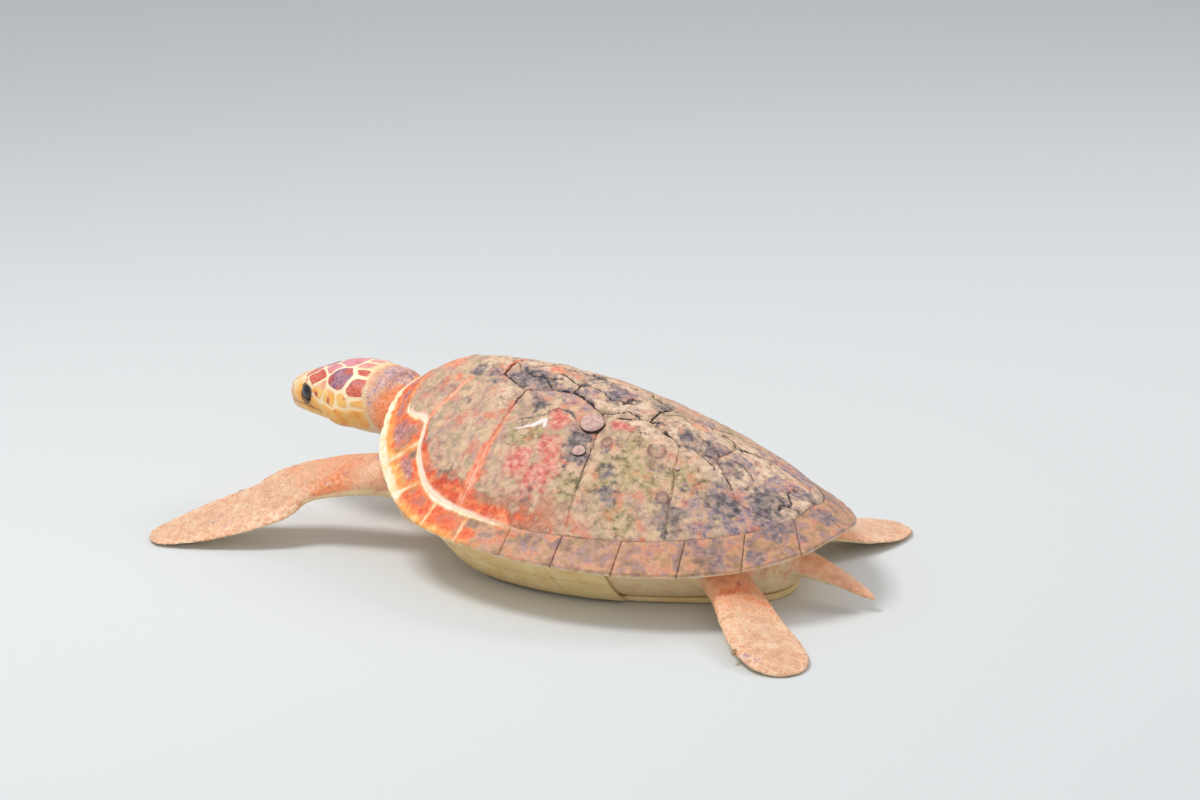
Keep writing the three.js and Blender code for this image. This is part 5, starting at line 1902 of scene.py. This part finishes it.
class TURTLE_OT_skin(bpy.types.Operator):
    """Grows the one skin over neck, head, flippers and tail, and the horn of the beak on it"""

    bl_idname = "turtle.skin"
    bl_label = "Skin and beak"

    def execute(self, context):
        mesh = skin_mesh(context.scene.turtle.skin_cell / MM)
        piece = bpy.data.objects.new("skin", mesh)
        context.scene.collection.objects.link(piece)
        flesh = ["trunk", "neck", "head", "jaw", "tail"] + [f"flipper_{name}" for name, *_ in LIMBS]
        place(piece, scaled_skin(), "skin", *flesh)
        horn = beak_horn()
        place(horn_over_skin("beak_upper", mesh, True), horn, "beak_horn", "beak")
        place(horn_over_skin("beak_lower", mesh, False), horn, "beak_horn")
        return {"FINISHED"}


class TURTLE_OT_eyes(bpy.types.Operator):
    """Builds the two eyeballs"""

    bl_idname = "turtle.eyes"
    bl_label = "Eyes"

    def execute(self, context):
        material = wet_eye()
        for side_name, side in SIDES:
            place(eyeball(f"eyeball_{side_name}", side), material, "eye", f"eye_{side_name}")
        return {"FINISHED"}


class TURTLE_OT_claws(bpy.types.Operator):
    """Builds the claw of each flipper"""

    bl_idname = "turtle.claws"
    bl_label = "Claws"

    def execute(self, context):
        material = claw_horn()
        for name, rows, lead, share in LIMBS:
            place(claw(f"horn_claw_{name}", rows, lead, share), material, "claw", f"claw_{name}")
        return {"FINISHED"}


class TURTLE_OT_barnacles(bpy.types.Operator):
    """Sets the barnacles on the back"""

    bl_idname = "turtle.barnacles"
    bl_label = "Barnacles"

    def execute(self, context):
        material = barnacle_lime()
        for i, row in enumerate(BARNACLES):
            place(barnacle(f"barnacle_{i + 1}", *row, i * 1.7), material, "back_plate")
        return {"FINISHED"}


# Lamps: name, place, size and power
LAMPS = (
    ("key", (1.2, -1.6, 4.6), 1.6, 130),
    ("fill", (4.5, 3.0, 2.6), 3.0, 30),
    ("back", (-3.6, 2.0, 3.8), 2.0, 60),
)
LIT_POINT = Vector((0, -0.1, 0.2))
CAMERA_TARGET = Vector((-0.009, -0.071, 0.295))
FLOOR_RADIUS, FLOOR_Z, FLOOR_CORNERS = 40000, -0.3, 96  # millimetres, and the corners of its edge


def stand(name, data, location, back):
    """Adds a lamp or a camera that looks along the opposite of back."""
    holder = bpy.data.objects.new(name, data)
    holder.location = location
    holder.rotation_euler = (-back).to_track_quat("-Z", "Y").to_euler()
    bpy.context.scene.collection.objects.link(holder)
    return holder


class TURTLE_OT_stage(bpy.types.Operator):
    """Sets up the floor, the lights, the world and the camera"""

    bl_idname = "turtle.stage"
    bl_label = "Stage"

    def execute(self, context):
        settings = context.scene.turtle
        angle = once_round(FLOOR_CORNERS)
        rim = [FLOOR_RADIUS * np.cos(angle), FLOOR_RADIUS * np.sin(angle), FLOOR_Z + 0 * angle]
        points = np.concatenate([np.column_stack(rim), [[0, 0, FLOOR_Z]]])
        floor = make_mesh("floor", points, fan_faces(np.arange(FLOOR_CORNERS), FLOOR_CORNERS), {})
        floor.data.materials.append(plain_floor(settings.floor_colour))
        world = bpy.data.worlds.new("studio")
        world.use_nodes = True
        sky = world.node_tree.nodes["Background"]
        sky.inputs["Color"].default_value = linear("#eef3fa")
        sky.inputs["Strength"].default_value = 0.62
        context.scene.world = world
        context.scene.view_settings.view_transform = "Standard"
        for name, where, size, power in LAMPS:
            lamp = bpy.data.lights.new(name, "AREA")
            lamp.energy, lamp.size = power, size
            stand(name, lamp, where, Vector(where) - LIT_POINT)
        camera = bpy.data.cameras.new("camera")
        camera.lens, camera.sensor_width = settings.lens, 36
        camera.clip_start, camera.clip_end = 0.05, 200
        camera.dof.use_dof = False
        a, e = settings.azimuth, settings.elevation
        back = Vector((math.sin(a) * math.cos(e), -math.cos(a) * math.cos(e), math.sin(e)))
        where = CAMERA_TARGET + back * settings.distance
        context.scene.camera = stand("camera", camera, where, back)
        return {"FINISHED"}


OPERATORS = (
    TURTLE_OT_back,
    TURTLE_OT_rim,
    TURTLE_OT_belly,
    TURTLE_OT_skin,
    TURTLE_OT_eyes,
    TURTLE_OT_claws,
    TURTLE_OT_barnacles,
    TURTLE_OT_stage,
)


class TURTLE_PT_panel(bpy.types.Panel):
    """Lists the settings and the pieces"""

    bl_idname = "TURTLE_PT_panel"
    bl_label = "Loggerhead turtle"
    bl_space_type = "VIEW_3D"
    bl_region_type = "UI"
    bl_category = "Turtle"

    def draw(self, context):
        for name in TurtleSettings.__annotations__:
            self.layout.prop(context.scene.turtle, name)
        for operator in OPERATORS:
            self.layout.operator(operator.bl_idname)


CLASSES = (TurtleSettings, *OPERATORS, TURTLE_PT_panel)


def register():
    """Adds the classes and the scene's settings."""
    for item in CLASSES:
        bpy.utils.register_class(item)
    bpy.types.Scene.turtle = bpy.props.PointerProperty(type=TurtleSettings)


def unregister():
    """Removes what register added."""
    del bpy.types.Scene.turtle
    for item in reversed(CLASSES):
        bpy.utils.unregister_class(item)


def main():
    """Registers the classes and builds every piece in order."""
    register()
    bpy.ops.turtle.back()
    bpy.ops.turtle.rim()
    bpy.ops.turtle.belly()
    bpy.ops.turtle.skin()
    bpy.ops.turtle.eyes()
    bpy.ops.turtle.claws()
    bpy.ops.turtle.barnacles()
    bpy.ops.turtle.stage()


if __name__ == "__main__":
    main()
